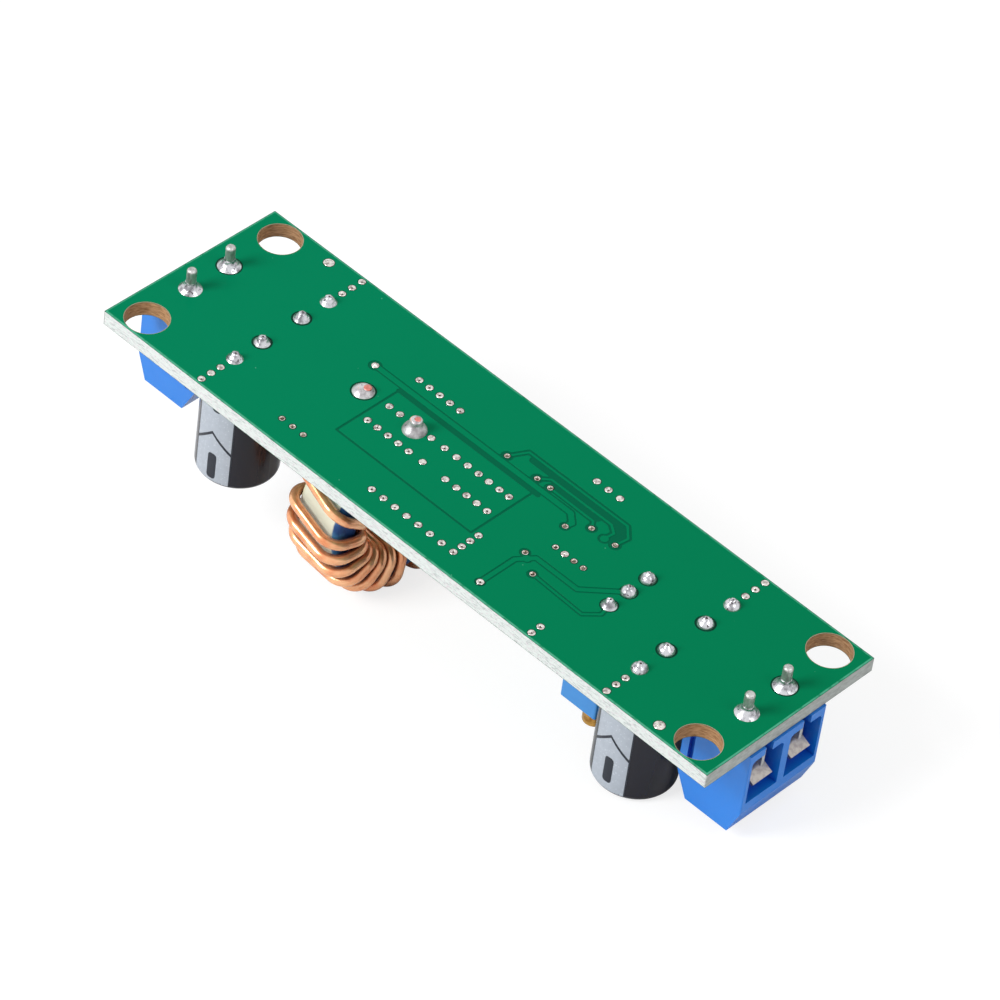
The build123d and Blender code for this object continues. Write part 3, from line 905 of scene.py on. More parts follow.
class ContourTracer:
    """Follows the zero line of a field that is sampled on a grid."""

    def __init__(self, half_x: float, half_y: float, pitch: float) -> None:
        """Lays out the grid.

        Args:
            half_x: Half of the grid's length.
            half_y: Half of the grid's width.
            pitch: Spacing of the samples.
        """
        self.xs = np.arange(-half_x, half_x + pitch, pitch)
        self.ys = np.arange(-half_y, half_y + pitch, pitch)
        self.grid_x, self.grid_y = np.meshgrid(self.xs, self.ys, indexing="ij")

    def _crossing(self, field_values: np.ndarray, key: tuple[int, int, int]) -> Point:
        """Finds where the zero line crosses one grid edge.

        Args:
            field_values: The field at each grid point.
            key: Column, row and way of the edge, 1 for upright.

        Returns:
            The crossing.
        """
        i, j, upright = key
        near = field_values[i, j]
        far = field_values[i, j + 1] if upright else field_values[i + 1, j]
        share = near / (near - far)
        step = self.xs[1] - self.xs[0]
        if upright:
            return (float(self.xs[i]), float(self.ys[j] + share * step))
        return (float(self.xs[i] + share * step), float(self.ys[j]))

    def loops(self, field_values: np.ndarray, tolerance: float = 0.004) -> list[Loop]:
        """Gives the closed lines round the positive parts of the field.

        Args:
            field_values: The field at each grid point.
            tolerance: How far a dropped point may lie from the line.

        Returns:
            The loops, thinned where they run straight.
        """
        inside = field_values > 0
        cells = np.argwhere(
            (inside[:-1, :-1] != inside[1:, :-1])
            | (inside[:-1, :-1] != inside[:-1, 1:])
            | (inside[:-1, :-1] != inside[1:, 1:])
        )
        neighbours: dict[tuple, list[tuple]] = {}
        for i, j in cells:
            i, j = int(i), int(j)
            around = []
            if inside[i, j] != inside[i + 1, j]:
                around.append((i, j, 0))
            if inside[i + 1, j] != inside[i + 1, j + 1]:
                around.append((i + 1, j, 1))
            if inside[i, j + 1] != inside[i + 1, j + 1]:
                around.append((i, j + 1, 0))
            if inside[i, j] != inside[i, j + 1]:
                around.append((i, j, 1))
            for a, b in zip(around[::2], around[1::2]):
                neighbours.setdefault(a, []).append(b)
                neighbours.setdefault(b, []).append(a)
        found = []
        while neighbours:
            key = next(iter(neighbours))
            loop = []
            while key is not None:
                loop.append(self._crossing(field_values, key))
                options = [k for k in neighbours.pop(key) if k in neighbours]
                key = options[0] if options else None
            if len(loop) > 6:
                found.append(self._thinned(loop, tolerance))
        return found

    @staticmethod
    def _thinned(loop: Loop, tolerance: float) -> Loop:
        """Drops the points that lie on a straight run.

        Args:
            loop: The loop.
            tolerance: How far a dropped point may lie from the line.

        Returns:
            The thinned loop.
        """
        kept = [loop[0]]
        start = 0
        end = 2
        while end < len(loop):
            a, b = np.array(loop[start]), np.array(loop[end])
            run = b - a
            length = float(np.hypot(*run)) or 1e-9
            between = np.array(loop[start + 1:end]) - a
            off = np.abs(between[:, 0] * run[1] - between[:, 1] * run[0]) / length
            if off.max() > tolerance:
                start = end - 1
                kept.append(loop[start])
            end += 1
        kept.append(loop[-1])
        return kept


@dataclass
class CopperPour:
    """The copper under the mask of each face, as a thin raised sheet with its clearances."""

    finish: bpy.types.Material
    holes: Sequence[Spot]
    edge_inset: float = 0.10
    near_inset: float = 0.03
    hole_inset: float = 0.07
    small_hole_inset: float = 0.05
    small_hole_to: float = 1.0
    soft_edge: float = 0.010
    pitch: float = 0.10
    grid_margin: float = 0.3
    switch_area: tuple = (-13.19, 4.06, -5.50, 2.60)
    switch_line: float = 0.25
    bare_runs: Sequence[Track] = (
        Track([(-13.19, 2.60), (4.60, 2.60)], 0.52),
        Track([(1.2, 5.56), (12.05, 5.56), (13.05, 4.66), (12.95, 3.62)], 0.80),
        Track([(4.6, 4.60), (10.3, 4.58)], 0.52),
    )
    end_pad_radius: float = 0.40
    tracks: Sequence[Track] = (
        Track([(-16.98, 3.28), (8.1, 3.28), (9.1, 2.4), (8.96, 1.64)], 0.55, 0.17),
        Track([(-0.77, 4.13), (0.2, 6.05), (12.6, 6.05), (13.75, 4.9), (13.55, 3.38)], 0.22, 0.24),
        Track([(3.04, 4.13), (4.0, 5.06), (11.5, 5.06), (12.45, 4.4), (12.34, 3.24)], 0.22, 0.24),
        Track([(4.67, 4.16), (10.15, 4.10), (10.68, 3.31)], 0.22, 0.20),
        Track([(18.42, 0.0), (15.2, -3.3), (10.1, -3.3), (8.96, -4.9), (8.96, -9.34)], 0.45, 0.17),
        Track([(8.96, -3.56), (9.6, -4.0)], 0.30, 0.17),
        Track([(18.42, -2.54), (18.77, -3.9), (17.6, -5.25), (11.29, -5.01)], 0.25, 0.17),
    )

    def solder_face(self, pads: Sequence[Pad]) -> bpy.types.Object:
        """Builds the sheet of the solder face.

        Args:
            pads: Pads that stand apart from the pour.

        Returns:
            The piece.
        """
        tracer = self._tracer()
        x, y = tracer.grid_x, tracer.grid_y
        nets = np.full(x.shape, -99.0)
        free = self._outline(x, y)
        for track in self.tracks:
            distance = self._from_line(x, y, track.line)
            nets = np.maximum(nets, track.width / 2 - distance)
            free = np.minimum(free, distance - track.width / 2 - track.gap)
            for end in (track.line[0], track.line[-1]):
                distance = np.hypot(x - end[0], y - end[1])
                nets = np.maximum(nets, self.end_pad_radius - distance)
                free = np.minimum(free, distance - self.end_pad_radius - track.gap)
        for pad in pads:
            distance = np.hypot(x - pad.x, y - pad.y)
            nets = np.maximum(nets, pad.radius - distance)
            free = np.minimum(free, distance - pad.radius - pad.gap)
        left, right, low, high = self.switch_area
        corners = [(left, low), (right, low), (right, high), (left, high), (left, low)]
        free = np.minimum(free, self._from_line(x, y, corners) - self.switch_line / 2)
        for run in self.bare_runs:
            free = np.minimum(free, self._from_line(x, y, run.line) - run.width / 2)
        loops = tracer.loops(self._opened(x, y, np.maximum(nets, free)))
        return filled_piece(
            "copper_under_mask", loops, 0.0, BOARD.sheet, self.soft_edge, self.finish
        )

    def component_face(self) -> bpy.types.Object:
        """Builds the plain sheet of the component face.

        Returns:
            The piece.
        """
        tracer = self._tracer()
        x, y = tracer.grid_x, tracer.grid_y
        loops = tracer.loops(self._opened(x, y, self._outline(x, y)))
        low = -BOARD.thickness - BOARD.sheet
        return filled_piece(
            "copper_under_mask_below", loops, low, BOARD.sheet, self.soft_edge, self.finish
        )

    def _tracer(self) -> ContourTracer:
        """Lays the grid over the whole board."""
        half_x = BOARD.half_length + self.grid_margin
        return ContourTracer(half_x, BOARD.half_width + self.grid_margin, self.pitch)

    def _outline(self, x: np.ndarray, y: np.ndarray) -> np.ndarray:
        """Gives the depth inside the pour's edge, cut closest on the near and the input side.

        Args:
            x: Places along the board.
            y: Places across it.

        Returns:
            The depth at each place, less than 0 outside.
        """
        long_half, wide_half = BOARD.half_length, BOARD.half_width
        ends = np.minimum(long_half - self.near_inset - x, long_half - self.edge_inset + x)
        sides = np.minimum(wide_half - self.edge_inset - y, wide_half - self.near_inset + y)
        return np.minimum(ends, sides)

    def _opened(self, x: np.ndarray, y: np.ndarray, field_values: np.ndarray) -> np.ndarray:
        """Opens the sheet at every hole of the board.

        Args:
            x: Places along the board.
            y: Places across it.
            field_values: The field of the sheet.

        Returns:
            The field with the holes taken out.
        """
        for hole in self.holes:
            large = hole.radius > self.small_hole_to
            room = self.hole_inset if large else self.small_hole_inset
            distance = np.hypot(x - hole.x, y - hole.y) - hole.radius - room
            field_values = np.minimum(field_values, distance)
        return field_values

    @staticmethod
    def _from_line(x: np.ndarray, y: np.ndarray, line: Sequence[Point]) -> np.ndarray:
        """Gives the distance from a line of straight runs.

        Args:
            x: Places along the board.
            y: Places across it.
            line: Corners of the line.

        Returns:
            The distance at each place.
        """
        nearest = np.full(x.shape, 99.0)
        for (ax, ay), (bx, by) in zip(line, line[1:]):
            run_x, run_y = bx - ax, by - ay
            share = np.clip(((x - ax) * run_x + (y - ay) * run_y) / (run_x ** 2 + run_y ** 2), 0, 1)
            nearest = np.minimum(nearest, np.hypot(x - ax - share * run_x, y - ay - share * run_y))
        return nearest


def filled_piece(
    name: str, loops: Iterable[Loop], low: float, depth: float, edge: float,
    finish: bpy.types.Material,
) -> bpy.types.Object:
    """Makes a flat plate from closed outlines, with softened edges.

    Args:
        name: Name of the piece.
        loops: Outlines, and openings inside them.
        low: Height of the lower face.
        depth: Thickness.
        edge: Size of the softened edge.
        finish: Material.

    Returns:
        The piece.
    """
    curve = bpy.data.curves.new(name + "_outline", "CURVE")
    curve.dimensions = "2D"
    curve.fill_mode = "BOTH"
    curve.extrude = (depth / 2 - edge) * MM
    curve.bevel_depth = edge * MM
    curve.bevel_resolution = 0
    for loop in loops:
        spline = curve.splines.new("POLY")
        spline.points.add(len(loop) - 1)
        flat = [value for x, y in loop for value in (x * MM, y * MM, 0.0, 1.0)]
        spline.points.foreach_set("co", flat)
        spline.use_cyclic_u = True
    shape = bpy.data.objects.new(name + "_shape", curve)
    bpy.context.scene.collection.objects.link(shape)
    graph = bpy.context.evaluated_depsgraph_get()
    mesh = bpy.data.meshes.new_from_object(shape.evaluated_get(graph))
    bpy.data.objects.remove(shape)
    bpy.data.curves.remove(curve)
    mesh.transform(Matrix.Translation((0, 0, (low + depth / 2) * MM)))
    mesh.name = name
    return finish_piece(name, mesh, finish, 30.0)


@dataclass
class ViaWork:
    """Pads, plugs and barrels of the vias."""

    solder: bpy.types.Material
    plating: bpy.types.Material
    flux: bpy.types.Material
    pad_margin: float = 0.09
    pad_rise: float = 0.020
    collar: float = 0.030
    plug_depth: float = 0.10
    dome_height: float = 0.16
    large_radius: float = 0.35
    proud: Sequence[Point] = ((11.40, -0.95), (-16.98, 3.28))
    proud_reach: float = 0.2
    flux_radius: float = 0.085

    def _rise(self, via: Spot) -> float:
        """Gives how far the plug of a via stands up, or sinks in as most small ones do.

        Args:
            via: The via.

        Returns:
            The rise, less than 0 for a hollow.
        """
        spot = (via.x, via.y)
        proud = any(math.dist(spot, place) < self.proud_reach for place in self.proud)
        if proud or via.radius > self.large_radius:
            return self.dome_height
        chance = noise.noise(Vector((via.x * 0.9, via.y * 0.9, 0.3)))
        return -self.plug_depth if chance < 0.12 else 0.05

    def filled(self, vias: Sequence[Spot]) -> list[bpy.types.Object]:
        """Builds the filled vias with their pads on both faces, and flux in the hollow ones.

        Args:
            vias: Places and drill radii.

        Returns:
            The piece that stands for the CAD vias, and the flux.
        """
        bag, drops = MeshBag(), MeshBag()
        low, top = -BOARD.thickness, BOARD.sheet + self.pad_rise
        crest = top + self.collar
        for via in vias:
            pad, bore = via.radius + self.pad_margin, via.radius
            dip = -self._rise(via)
            upper = [
                (pad, BOARD.sheet * 0.5), (pad - 0.02, top), (pad - 0.07, crest),
                (bore * 0.75, crest), (bore * 0.50, crest - dip * 0.45),
                (bore * 0.28, crest - dip * 0.9), (0.02, crest - dip),
            ]
            lower = [(radius, low - height) for radius, height in reversed(upper)]
            barrel = [(bore - 0.01, low - 0.002), (bore - 0.01, 0.002)]
            bag.lathe((via.x, via.y), lower + barrel + upper, 20)
            if dip > 0:
                drift = noise.noise(Vector((via.y, via.x, 1.3))) * 0.08
                drop = self.flux_radius
                drops.lathe((via.x + drift, via.y - drift), [
                    (drop * 1.1, crest - dip - 0.01), (drop * 1.1, crest - dip * 0.62),
                    (drop * 0.7, crest - dip * 0.50), (0.01, crest - dip * 0.46),
                ], 12)
        piece = bag.piece("filled_vias", self.solder, 55.0)
        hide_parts("vias")
        drop_piece = drops.piece("via_flux", self.flux, 55.0)
        return [piece, drop_piece]

    def open(self, vias: Sequence[Spot]) -> bpy.types.Object:
        """Builds the pads and barrels of the vias that are left open.

        Args:
            vias: Places and drill radii.

        Returns:
            The piece.
        """
        bag = MeshBag()
        low, top = -BOARD.thickness, BOARD.sheet + self.pad_rise
        for via in vias:
            pad = via.radius + self.pad_margin
            bore = via.radius - 0.02
            bag.ring((via.x, via.y), [
                (bore, low - top + 0.02), (bore + 0.02, low - top), (pad - 0.03, low - top),
                (pad, low - BOARD.sheet * 0.5), (via.radius - 0.005, low - 0.002),
                (via.radius - 0.005, 0.002), (pad, BOARD.sheet * 0.5), (pad - 0.03, top),
                (bore + 0.02, top), (bore, top - 0.02),
            ], 20)
        piece = bag.piece("open_via_pads", self.plating, 55.0)
        return piece


class JointForm(Enum):
    """How solder stands round a lead."""

    CONE = "cone"
    PEAK = "peak"
    DOME = "dome"


@dataclass(frozen=True)
class Lead:
    """A lead in its joint.

    Attributes:
        radius: Radius of the lead.
        tip: Height of its end, which a peak or a dome covers.
        share: Width of the joint as a share of the plain one's.
    """

    radius: float
    tip: float
    share: float = 1.0


@dataclass
class SolderWork:
    """Solder joints round the leads, each a little different."""

    finish: bpy.types.Material
    segments: int = 40
    rows: int = 10
    cover: float = 0.04
    cone_sag: float = 1.75
    peak_sag: float = 1.15
    dome_share: float = 0.82
    mark_radius: float = 0.11

    def _profile(self, form: JointForm, spot: Spot, lead: Lead) -> list[Point]:
        """Gives the flank of one joint.

        Args:
            form: How the solder stands.
            spot: The plain joint, at whose height a cone stops.
            lead: The lead.

        Returns:
            Radius and height of each ring.
        """
        foot, crown, tip = spot.radius * lead.share, lead.radius + self.cover, lead.tip
        profile = [(foot - 0.05, 0.004)]
        top = spot.high if form is JointForm.CONE else tip - 0.05
        swell = tip * self.dome_share
        ball = (foot ** 2 + swell ** 2) / (2 * swell)
        for row in range(self.rows + 1):
            rise = row / self.rows
            if form is JointForm.DOME:
                angle = math.asin(foot / ball) * (1 - rise) + math.asin(crown / ball) * rise
                sunk = ball * (1 - math.cos(angle))
                profile.append((ball * math.sin(angle), 0.02 + swell - sunk))
            else:
                sag = self.cone_sag if form is JointForm.CONE else self.peak_sag
                radius = crown + (foot - crown) * (1 - rise) ** sag
                profile.append((radius, 0.035 + (top - 0.035) * rise))
        if form is JointForm.CONE:
            profile.append((crown * 0.5, top + 0.02))
        else:
            nub = ((0.80, 0.01), (0.40, 0.025), (0.12, 0.03))
            profile += [(lead.radius * share, tip + rise) for share, rise in nub]
        return profile

    def joints(
        self, name: str, node: bpy.types.Object, form_at: Callable[[Spot], JointForm], lead: Lead,
        marks: Optional[MeshBag] = None,
    ) -> bpy.types.Object:
        """Builds the joints that stand for a node's plain ones.

        Args:
            name: Name of the piece.
            node: CAD node with the plain joints.
            form_at: Says how the solder stands at each place.
            lead: The lead in each joint.
            marks: Takes a dark mark of flux at the tip of each joint.

        Returns:
            The piece.
        """
        bag = MeshBag()
        for spot in upright_spots(node.data):
            profile = self._profile(form_at(spot), spot, lead)
            if marks is not None:
                shift = noise.noise(Vector((spot.y, spot.x, 4.0))) * 0.12
                marks.lathe((spot.x + 0.06 + shift, spot.y - 0.02 - shift), [
                    (self.mark_radius, lead.tip - 0.12), (self.mark_radius, lead.tip + 0.015),
                    (self.mark_radius * 0.7, lead.tip + 0.05), (0.01, lead.tip + 0.055),
                ], 12, 0.3)
            drift = noise.noise(Vector((spot.x, spot.y, 2.0))) * 0.05
            bag.lathe((spot.x, spot.y), profile, self.segments, 0.17, (drift, -drift * 0.6))
        piece = bag.piece(name, self.finish, 60.0)
        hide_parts(node.name)
        return piece


@dataclass
class CoilEnds:
    """The two soldered ends of the coil: one flush in a low joint, one standing in a tall one."""

    solder: bpy.types.Material
    wire_tip: bpy.types.Material
    segments: int = 40
    low_flank: Sequence[Point] = (
        (1.0, 0.03), (0.93, 0.26), (0.80, 0.56), (0.68, 0.84), (0.56, 1.06), (0.42, 1.19),
        (0.25, 1.25), (0.08, 1.27),
    )
    tall_flank: Sequence[Point] = (
        (1.0, 0.02), (0.97, 0.14), (0.90, 0.28), (0.80, 0.42), (0.69, 0.56), (0.60, 0.70),
        (0.545, 0.84), (0.52, 0.98), (0.50, 1.10), (0.44, 1.19), (0.30, 1.225), (0.10, 1.235),
    )
    bare_radii: Sequence[float] = (0.42, 0.34)
    bare_shifts: Sequence[Point] = ((0.28, 0.22), (0.13, 0.10))

    def build(self, node: bpy.types.Object, tip_heights: Sequence[float]) -> list[bpy.types.Object]:
        """Builds both joints and the wire tips in them.

        Args:
            node: CAD node with the plain joints.
            tip_heights: Height of the wire's end in each joint.

        Returns:
            The pieces.
        """
        bag, tips = MeshBag(), MeshBag()
        flanks = (self.low_flank, self.tall_flank)
        sets = zip(upright_spots(node.data), flanks, tip_heights, self.bare_radii, self.bare_shifts)
        for spot, flank, tip, bare, shift in sets:
            profile = [(spot.radius - 0.05, 0.004)]
            profile += [(spot.radius * share, spot.high * rise) for share, rise in flank]
            bag.lathe((spot.x, spot.y), profile, self.segments, 0.13, (0.05, 0.03))
            tips.lathe((spot.x + shift[0], spot.y + shift[1]), [
                (bare * 0.98, tip - 0.10), (bare, tip + 0.02), (bare * 0.90, tip + 0.085),
                (bare * 0.50, tip + 0.11), (0.04, tip + 0.115),
            ], self.segments, 0.05)
        joint = bag.piece("inductor_joints", self.solder, 60.0)
        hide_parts(node.name)
        tip_piece = tips.piece("wire_tips", self.wire_tip, 60.0)
        return [joint, tip_piece]


@dataclass
class FluxAndShadeRings:
    """Dark flux and painted shadow on the mask that outline pads and joints."""

    finish: bpy.types.Material
    rise: float = 0.010

    def build(self, rings: Sequence[tuple[Spot, float, float]]) -> bpy.types.Object:
        """Builds the rings.

        Args:
            rings: Each pad, how far its ring reaches from it, and the ring's height.

        Returns:
            The piece.
        """
        bag = MeshBag()
        # Each ring is partly flux and partly painted contact shadow.
        for spot, reach, base in rings:
            inner, outer = spot.radius - 0.03, spot.radius + reach
            bag.ring((spot.x, spot.y), [
                (inner, base), (outer, base), (outer - 0.01, base + self.rise),
                (inner, base + self.rise),
            ], 36)
        return bag.piece("flux_rings", self.finish, 30.0)


class Side(Enum):
    """A long side of the board."""

    NEAR = -1
    FAR = 1


@dataclass
class HousingGroove:
    """The upright groove that hooks one block to the next, cut into the side of a housing."""

    finish: bpy.types.Material
    mouth: float = 0.60
    flare: float = 0.15
    depth: float = 0.60
    length: float = 7.0
    overcut: float = 0.5
    flank_reach: float = 4.0
    smooth_angle: float = 6.0

    def cut(self, name: str, node: bpy.types.Object, middle: float, side: Side) -> bpy.types.Object:
        """Builds the housing with its groove.

        Args:
            name: Name of the piece.
            node: CAD node of the housing.
            middle: Place of the groove along the board.
            side: Side of the board that the groove opens to.

        Returns:
            The piece that stands for the housing.
        """
        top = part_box(node.name)[1].z / MM
        reached = [v.co for v in node.data.vertices if abs(v.co.x / MM - middle) < self.flank_reach]
        face = side.value * max(side.value * place.y / MM for place in reached)
        inner, outer = face - side.value * self.depth, face + side.value * self.overcut
        neck, flare = self.mouth / 2, self.mouth / 2 + self.flare
        corners = [
            (middle - neck, outer), (middle + neck, outer), (middle + neck, face),
            (middle + flare, inner), (middle - flare, inner), (middle - neck, face),
        ][::-side.value]
        bag = MeshBag()
        bag.prism(
            [(x, y, top - self.length) for x, y in corners],
            [(x, y, top + self.overcut) for x, y in corners],
        )
        cutter = bpy.data.objects.new(name + "_cutter", bag.mesh(name + "_cutter"))
        body = bpy.data.objects.new(name + "_body", node.data.copy())
        for item in (cutter, body):
            bpy.context.scene.collection.objects.link(item)
        cut = body.modifiers.new("groove", "BOOLEAN")
        cut.operation = "DIFFERENCE"
        cut.solver = "EXACT"
        cut.object = cutter
        graph = bpy.context.evaluated_depsgraph_get()
        mesh = bpy.data.meshes.new_from_object(body.evaluated_get(graph))
        for item in (cutter, body):
            bpy.data.objects.remove(item)
        mesh.name = name
        piece = finish_piece(name, mesh, self.finish, self.smooth_angle)
        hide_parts(node.name)
        return piece


@dataclass
class HoleRims:
    """Thin bare rims of laminate at the fixing holes."""

    finish: bpy.types.Material
    width: float = 0.06
    rise: float = 0.006

    def build(self, holes: Sequence[Spot]) -> bpy.types.Object:
        """Builds the rims on both faces.

        Args:
            holes: The fixing holes.

        Returns:
            The piece.
        """
        bag = MeshBag()
        for hole in holes:
            inner, outer = hole.radius + 0.004, hole.radius + self.width
            for face, out in ((0.0, 1), (-BOARD.thickness, -1)):
                bag.ring((hole.x, hole.y), [
                    (inner, face), (outer, face), (outer - 0.01, face + out * self.rise),
                    (inner + 0.01, face + out * self.rise),
                ], 72)
        return bag.piece("fixing_hole_rims", self.finish, 30.0)


class CylinderWrap:
    """Lays flat outlines on the side of an upright round body."""

    def __init__(self, node: bpy.types.Object, lift: float) -> None:
        """Takes the body that is wrapped.

        Args:
            node: CAD node with the round side.
            lift: How far the print stands off the side.
        """
        low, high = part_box(node.name)
        self.middle = (low + high) / 2 / MM
        self.top = high.z / MM
        self.bottom = low.z / MM
        self.radius = (high.x - low.x) / 2 / MM
        self.lift = lift
        mesh = node.data
        self.tree = BVHTree.FromPolygons(
            [v.co / MM for v in mesh.vertices], [tuple(p.vertices) for p in mesh.polygons]
        )

    def point(self, angle: float, height: float, lift: float) -> Corner:
        """Gives the place on the side at an angle and height.

        Args:
            angle: Angle about the axis in degrees.
            height: Height in the frame of the part.
            lift: Distance from the side.

        Returns:
            The point.
        """
        way = Vector((math.cos(math.radians(angle)), math.sin(math.radians(angle)), 0))
        start = Vector((self.middle.x, self.middle.y, height)) + way * (self.radius + 2)
        hit = self.tree.ray_cast(start, -way)[0]
        base = hit if hit is not None else start - way * 2
        return tuple(base + way * lift)

    def patch(
        self, bag: MeshBag, left: Callable[[float], float], right: Callable[[float], float],
        low: float, high: float, columns: int = 10, rows: int = 24, lift: float = 0.0
    ) -> None:
        """Adds a closed thin patch between two side lines.

        Args:
            bag: The bag that takes the patch.
            left: Left angle at each share of the height.
            right: Right angle at each share of the height.
            low: Lowest point.
            high: Highest point.
            columns: Faces across.
            rows: Faces along.
            lift: Extra distance from the side.
        """
        start = len(bag.points)
        for side in (0, 1):
            for j in range(rows + 1):
                share = j / rows
                height = low + (high - low) * share
                a, b = left(share), right(share)
                for i in range(columns + 1):
                    angle = a + (b - a) * i / columns
                    inset = -0.02 if side == 0 else self.lift + lift
                    bag.points.append(self.point(angle, height, inset))
        layer = (rows + 1) * (columns + 1)
        for j in range(rows):
            for i in range(columns):
                a = start + j * (columns + 1) + i
                quad = (a, a + 1, a + columns + 2, a + columns + 1)
                bag.faces.append(tuple(reversed(quad)))
                bag.faces.append(tuple(q + layer for q in quad))
        rim = [start + i for i in range(columns + 1)]
        rim += [start + j * (columns + 1) + columns for j in range(1, rows + 1)]
        rim += [start + rows * (columns + 1) + i for i in range(columns - 1, -1, -1)]
        rim += [start + j * (columns + 1) for j in range(rows - 1, 0, -1)]
        for a, b in zip(rim, rim[1:] + rim[:1]):
            bag.faces.append((a, b, b + layer, a + layer))


@dataclass(frozen=True)
class StripePlace:
    """Place of one capacitor's print.

    Attributes:
        name: Name of the capacitor.
        facing: Angle that the stripe faces in degrees.
        apex: Height of the chevron's point.
    """

    name: str
    facing: float
    apex: float


@dataclass
class CapacitorPrint:
    """Printed polarity stripe of one capacitor: grey field, border, bars and chevrons."""

    stripe: bpy.types.Material
    mark: bpy.types.Material
    half_angle: float = 29.5
    border: float = 1.7
    margin: float = 0.25
    mark_pitch: float = 8.33
    bar_drop: float = 4.12
    bar_length: float = 3.10
    bar_half_angle: float = 7.0
    bar_shift: float = 3.2
    bar_end: float = 0.42
    chevron_drop: float = 2.0
    chevron_line: float = 0.36
    lift: float = 0.012
    border_lift: float = 0.004
    mark_lift: float = 0.006
    sunk: float = -0.02
    foot: float = 0.45

    def build(self, place: StripePlace, sleeve: bpy.types.Object) -> list[bpy.types.Object]:
        """Builds the print of one capacitor.

        Args:
            place: Place of the print.
            sleeve: CAD node that it lies on.

        Returns:
            The pieces.
        """
        wrap = CylinderWrap(sleeve, self.lift)
        low, high = wrap.bottom + self.foot, wrap.top - self.margin
        left, right = place.facing - self.half_angle, place.facing + self.half_angle
        ground, marks = MeshBag(), MeshBag()
        wrap.patch(ground, lambda share: left, lambda share: right, low, high, 14, 60)
        for start in (left - self.border, right):
            wrap.patch(
                marks, lambda share: start, lambda share: start + self.border,
                low, high, 2, 60, self.border_lift,
            )
        for height in (place.apex, place.apex + self.mark_pitch):
            self._bar(wrap, marks, place.facing + self.bar_shift, height - self.bar_drop, high)
        self._chevron(wrap, marks, place)
        pieces = [
            ground.piece(f"{place.name}_stripe", self.stripe, 35.0),
            marks.piece(f"{place.name}_marks", self.mark, 35.0),
        ]
        return pieces

    def _bar(
        self, wrap: CylinderWrap, bag: MeshBag, facing: float, middle: float, top: float
    ) -> None:
        """Adds a bar with rounded corners.

        Args:
            wrap: The round side.
            bag: The bag that takes the bar.
            facing: Angle of its middle in degrees.
            middle: Height of its middle.
            top: Height that it is cut off at.
        """
        low = middle - self.bar_length / 2
        high = min(middle + self.bar_length / 2, top)

        def half(share: float) -> float:
            """Half width at a share of the bar's length."""
            height = low + (high - low) * share
            off = max(0.0, abs(height - middle) - self.bar_length / 2 + self.bar_end) / self.bar_end
            return self.bar_half_angle * (0.45 + 0.55 * math.sqrt(max(0.0, 1 - off * off)))

        wrap.patch(
            bag, lambda share: facing - half(share), lambda share: facing + half(share),
            low, high, 6, 30, self.mark_lift,
        )

    def _chevron(self, wrap: CylinderWrap, bag: MeshBag, place: StripePlace) -> None:
        """Adds an arrow line across the stripe.

        Args:
            wrap: The round side.
            bag: The bag that takes the line.
            place: Place of the print.
        """
        start = len(bag.points)
        columns = 24
        for side in (0, 1):
            for edge in (-1, 1):
                for i in range(columns + 1):
                    turn = 2 * i / columns - 1
                    height = place.apex - self.chevron_drop * abs(turn)
                    height += edge * self.chevron_line / 2
                    inset = self.sunk if side == 0 else wrap.lift + self.mark_lift
                    angle = place.facing + turn * self.half_angle
                    bag.points.append(wrap.point(angle, height, inset))
        row, layer = columns + 1, 2 * (columns + 1)
        for i in range(columns):
            a = start + i
            quad = (a, a + 1, a + row + 1, a + row)
            bag.faces.append(tuple(reversed(quad)))
            bag.faces.append(tuple(q + layer for q in quad))
            bag.faces.append((a, a + 1, a + 1 + layer, a + layer))
            bag.faces.append((a + row + 1, a + row, a + row + layer, a + row + 1 + layer))
        for a, b in ((start, start + row), (start + row + columns, start + columns)):
            bag.faces.append((b, a, a + layer, b + layer))


@dataclass
class ChipEnds:
    """Solder-coated end caps of the chips."""

    finish: bpy.types.Material
    reach: float = 0.42
    skin: float = 0.012
    corner: float = 0.06

    def build(self, name: str, node: bpy.types.Object) -> bpy.types.Object:
        """Builds the end caps of every chip of a node.

        Args:
            name: Name of the piece.
            node: CAD node with the chips.

        Returns:
            The piece.
        """
        bag = MeshBag()
        for points in islands(node.data):
            low, high = points.min(0), points.max(0)
            for side in (-1, 1):
                end = high[0] + self.skin if side > 0 else low[0] - self.skin
                inner = end - side * self.reach
                self._cap(bag, sorted((end, inner)), low, high)
        piece = bag.piece(name, self.finish, 30.0)
        return piece

    def _cap(self, bag: MeshBag, ends: Sequence[float], low: np.ndarray, high: np.ndarray) -> None:
        """Adds one cap with cut corners.

        Args:
            bag: The bag that takes the cap.
            ends: Where it starts and ends along x.
            low: Lowest corner of the chip.
            high: Highest corner of the chip.
        """
        cut = self.corner
        y0, y1 = low[1] - self.skin, high[1] + self.skin
        z0, z1 = low[2] - self.skin, high[2] + self.skin * 0.5
        section = [
            (y0 + cut, z0), (y1 - cut, z0), (y1, z0 + cut), (y1, z1 - cut),
            (y1 - cut, z1), (y0 + cut, z1), (y0, z1 - cut), (y0, z0 + cut),
        ]
        first, second = ([(x, y, z) for y, z in section] for x in ends)
        bag.prism(first, second)


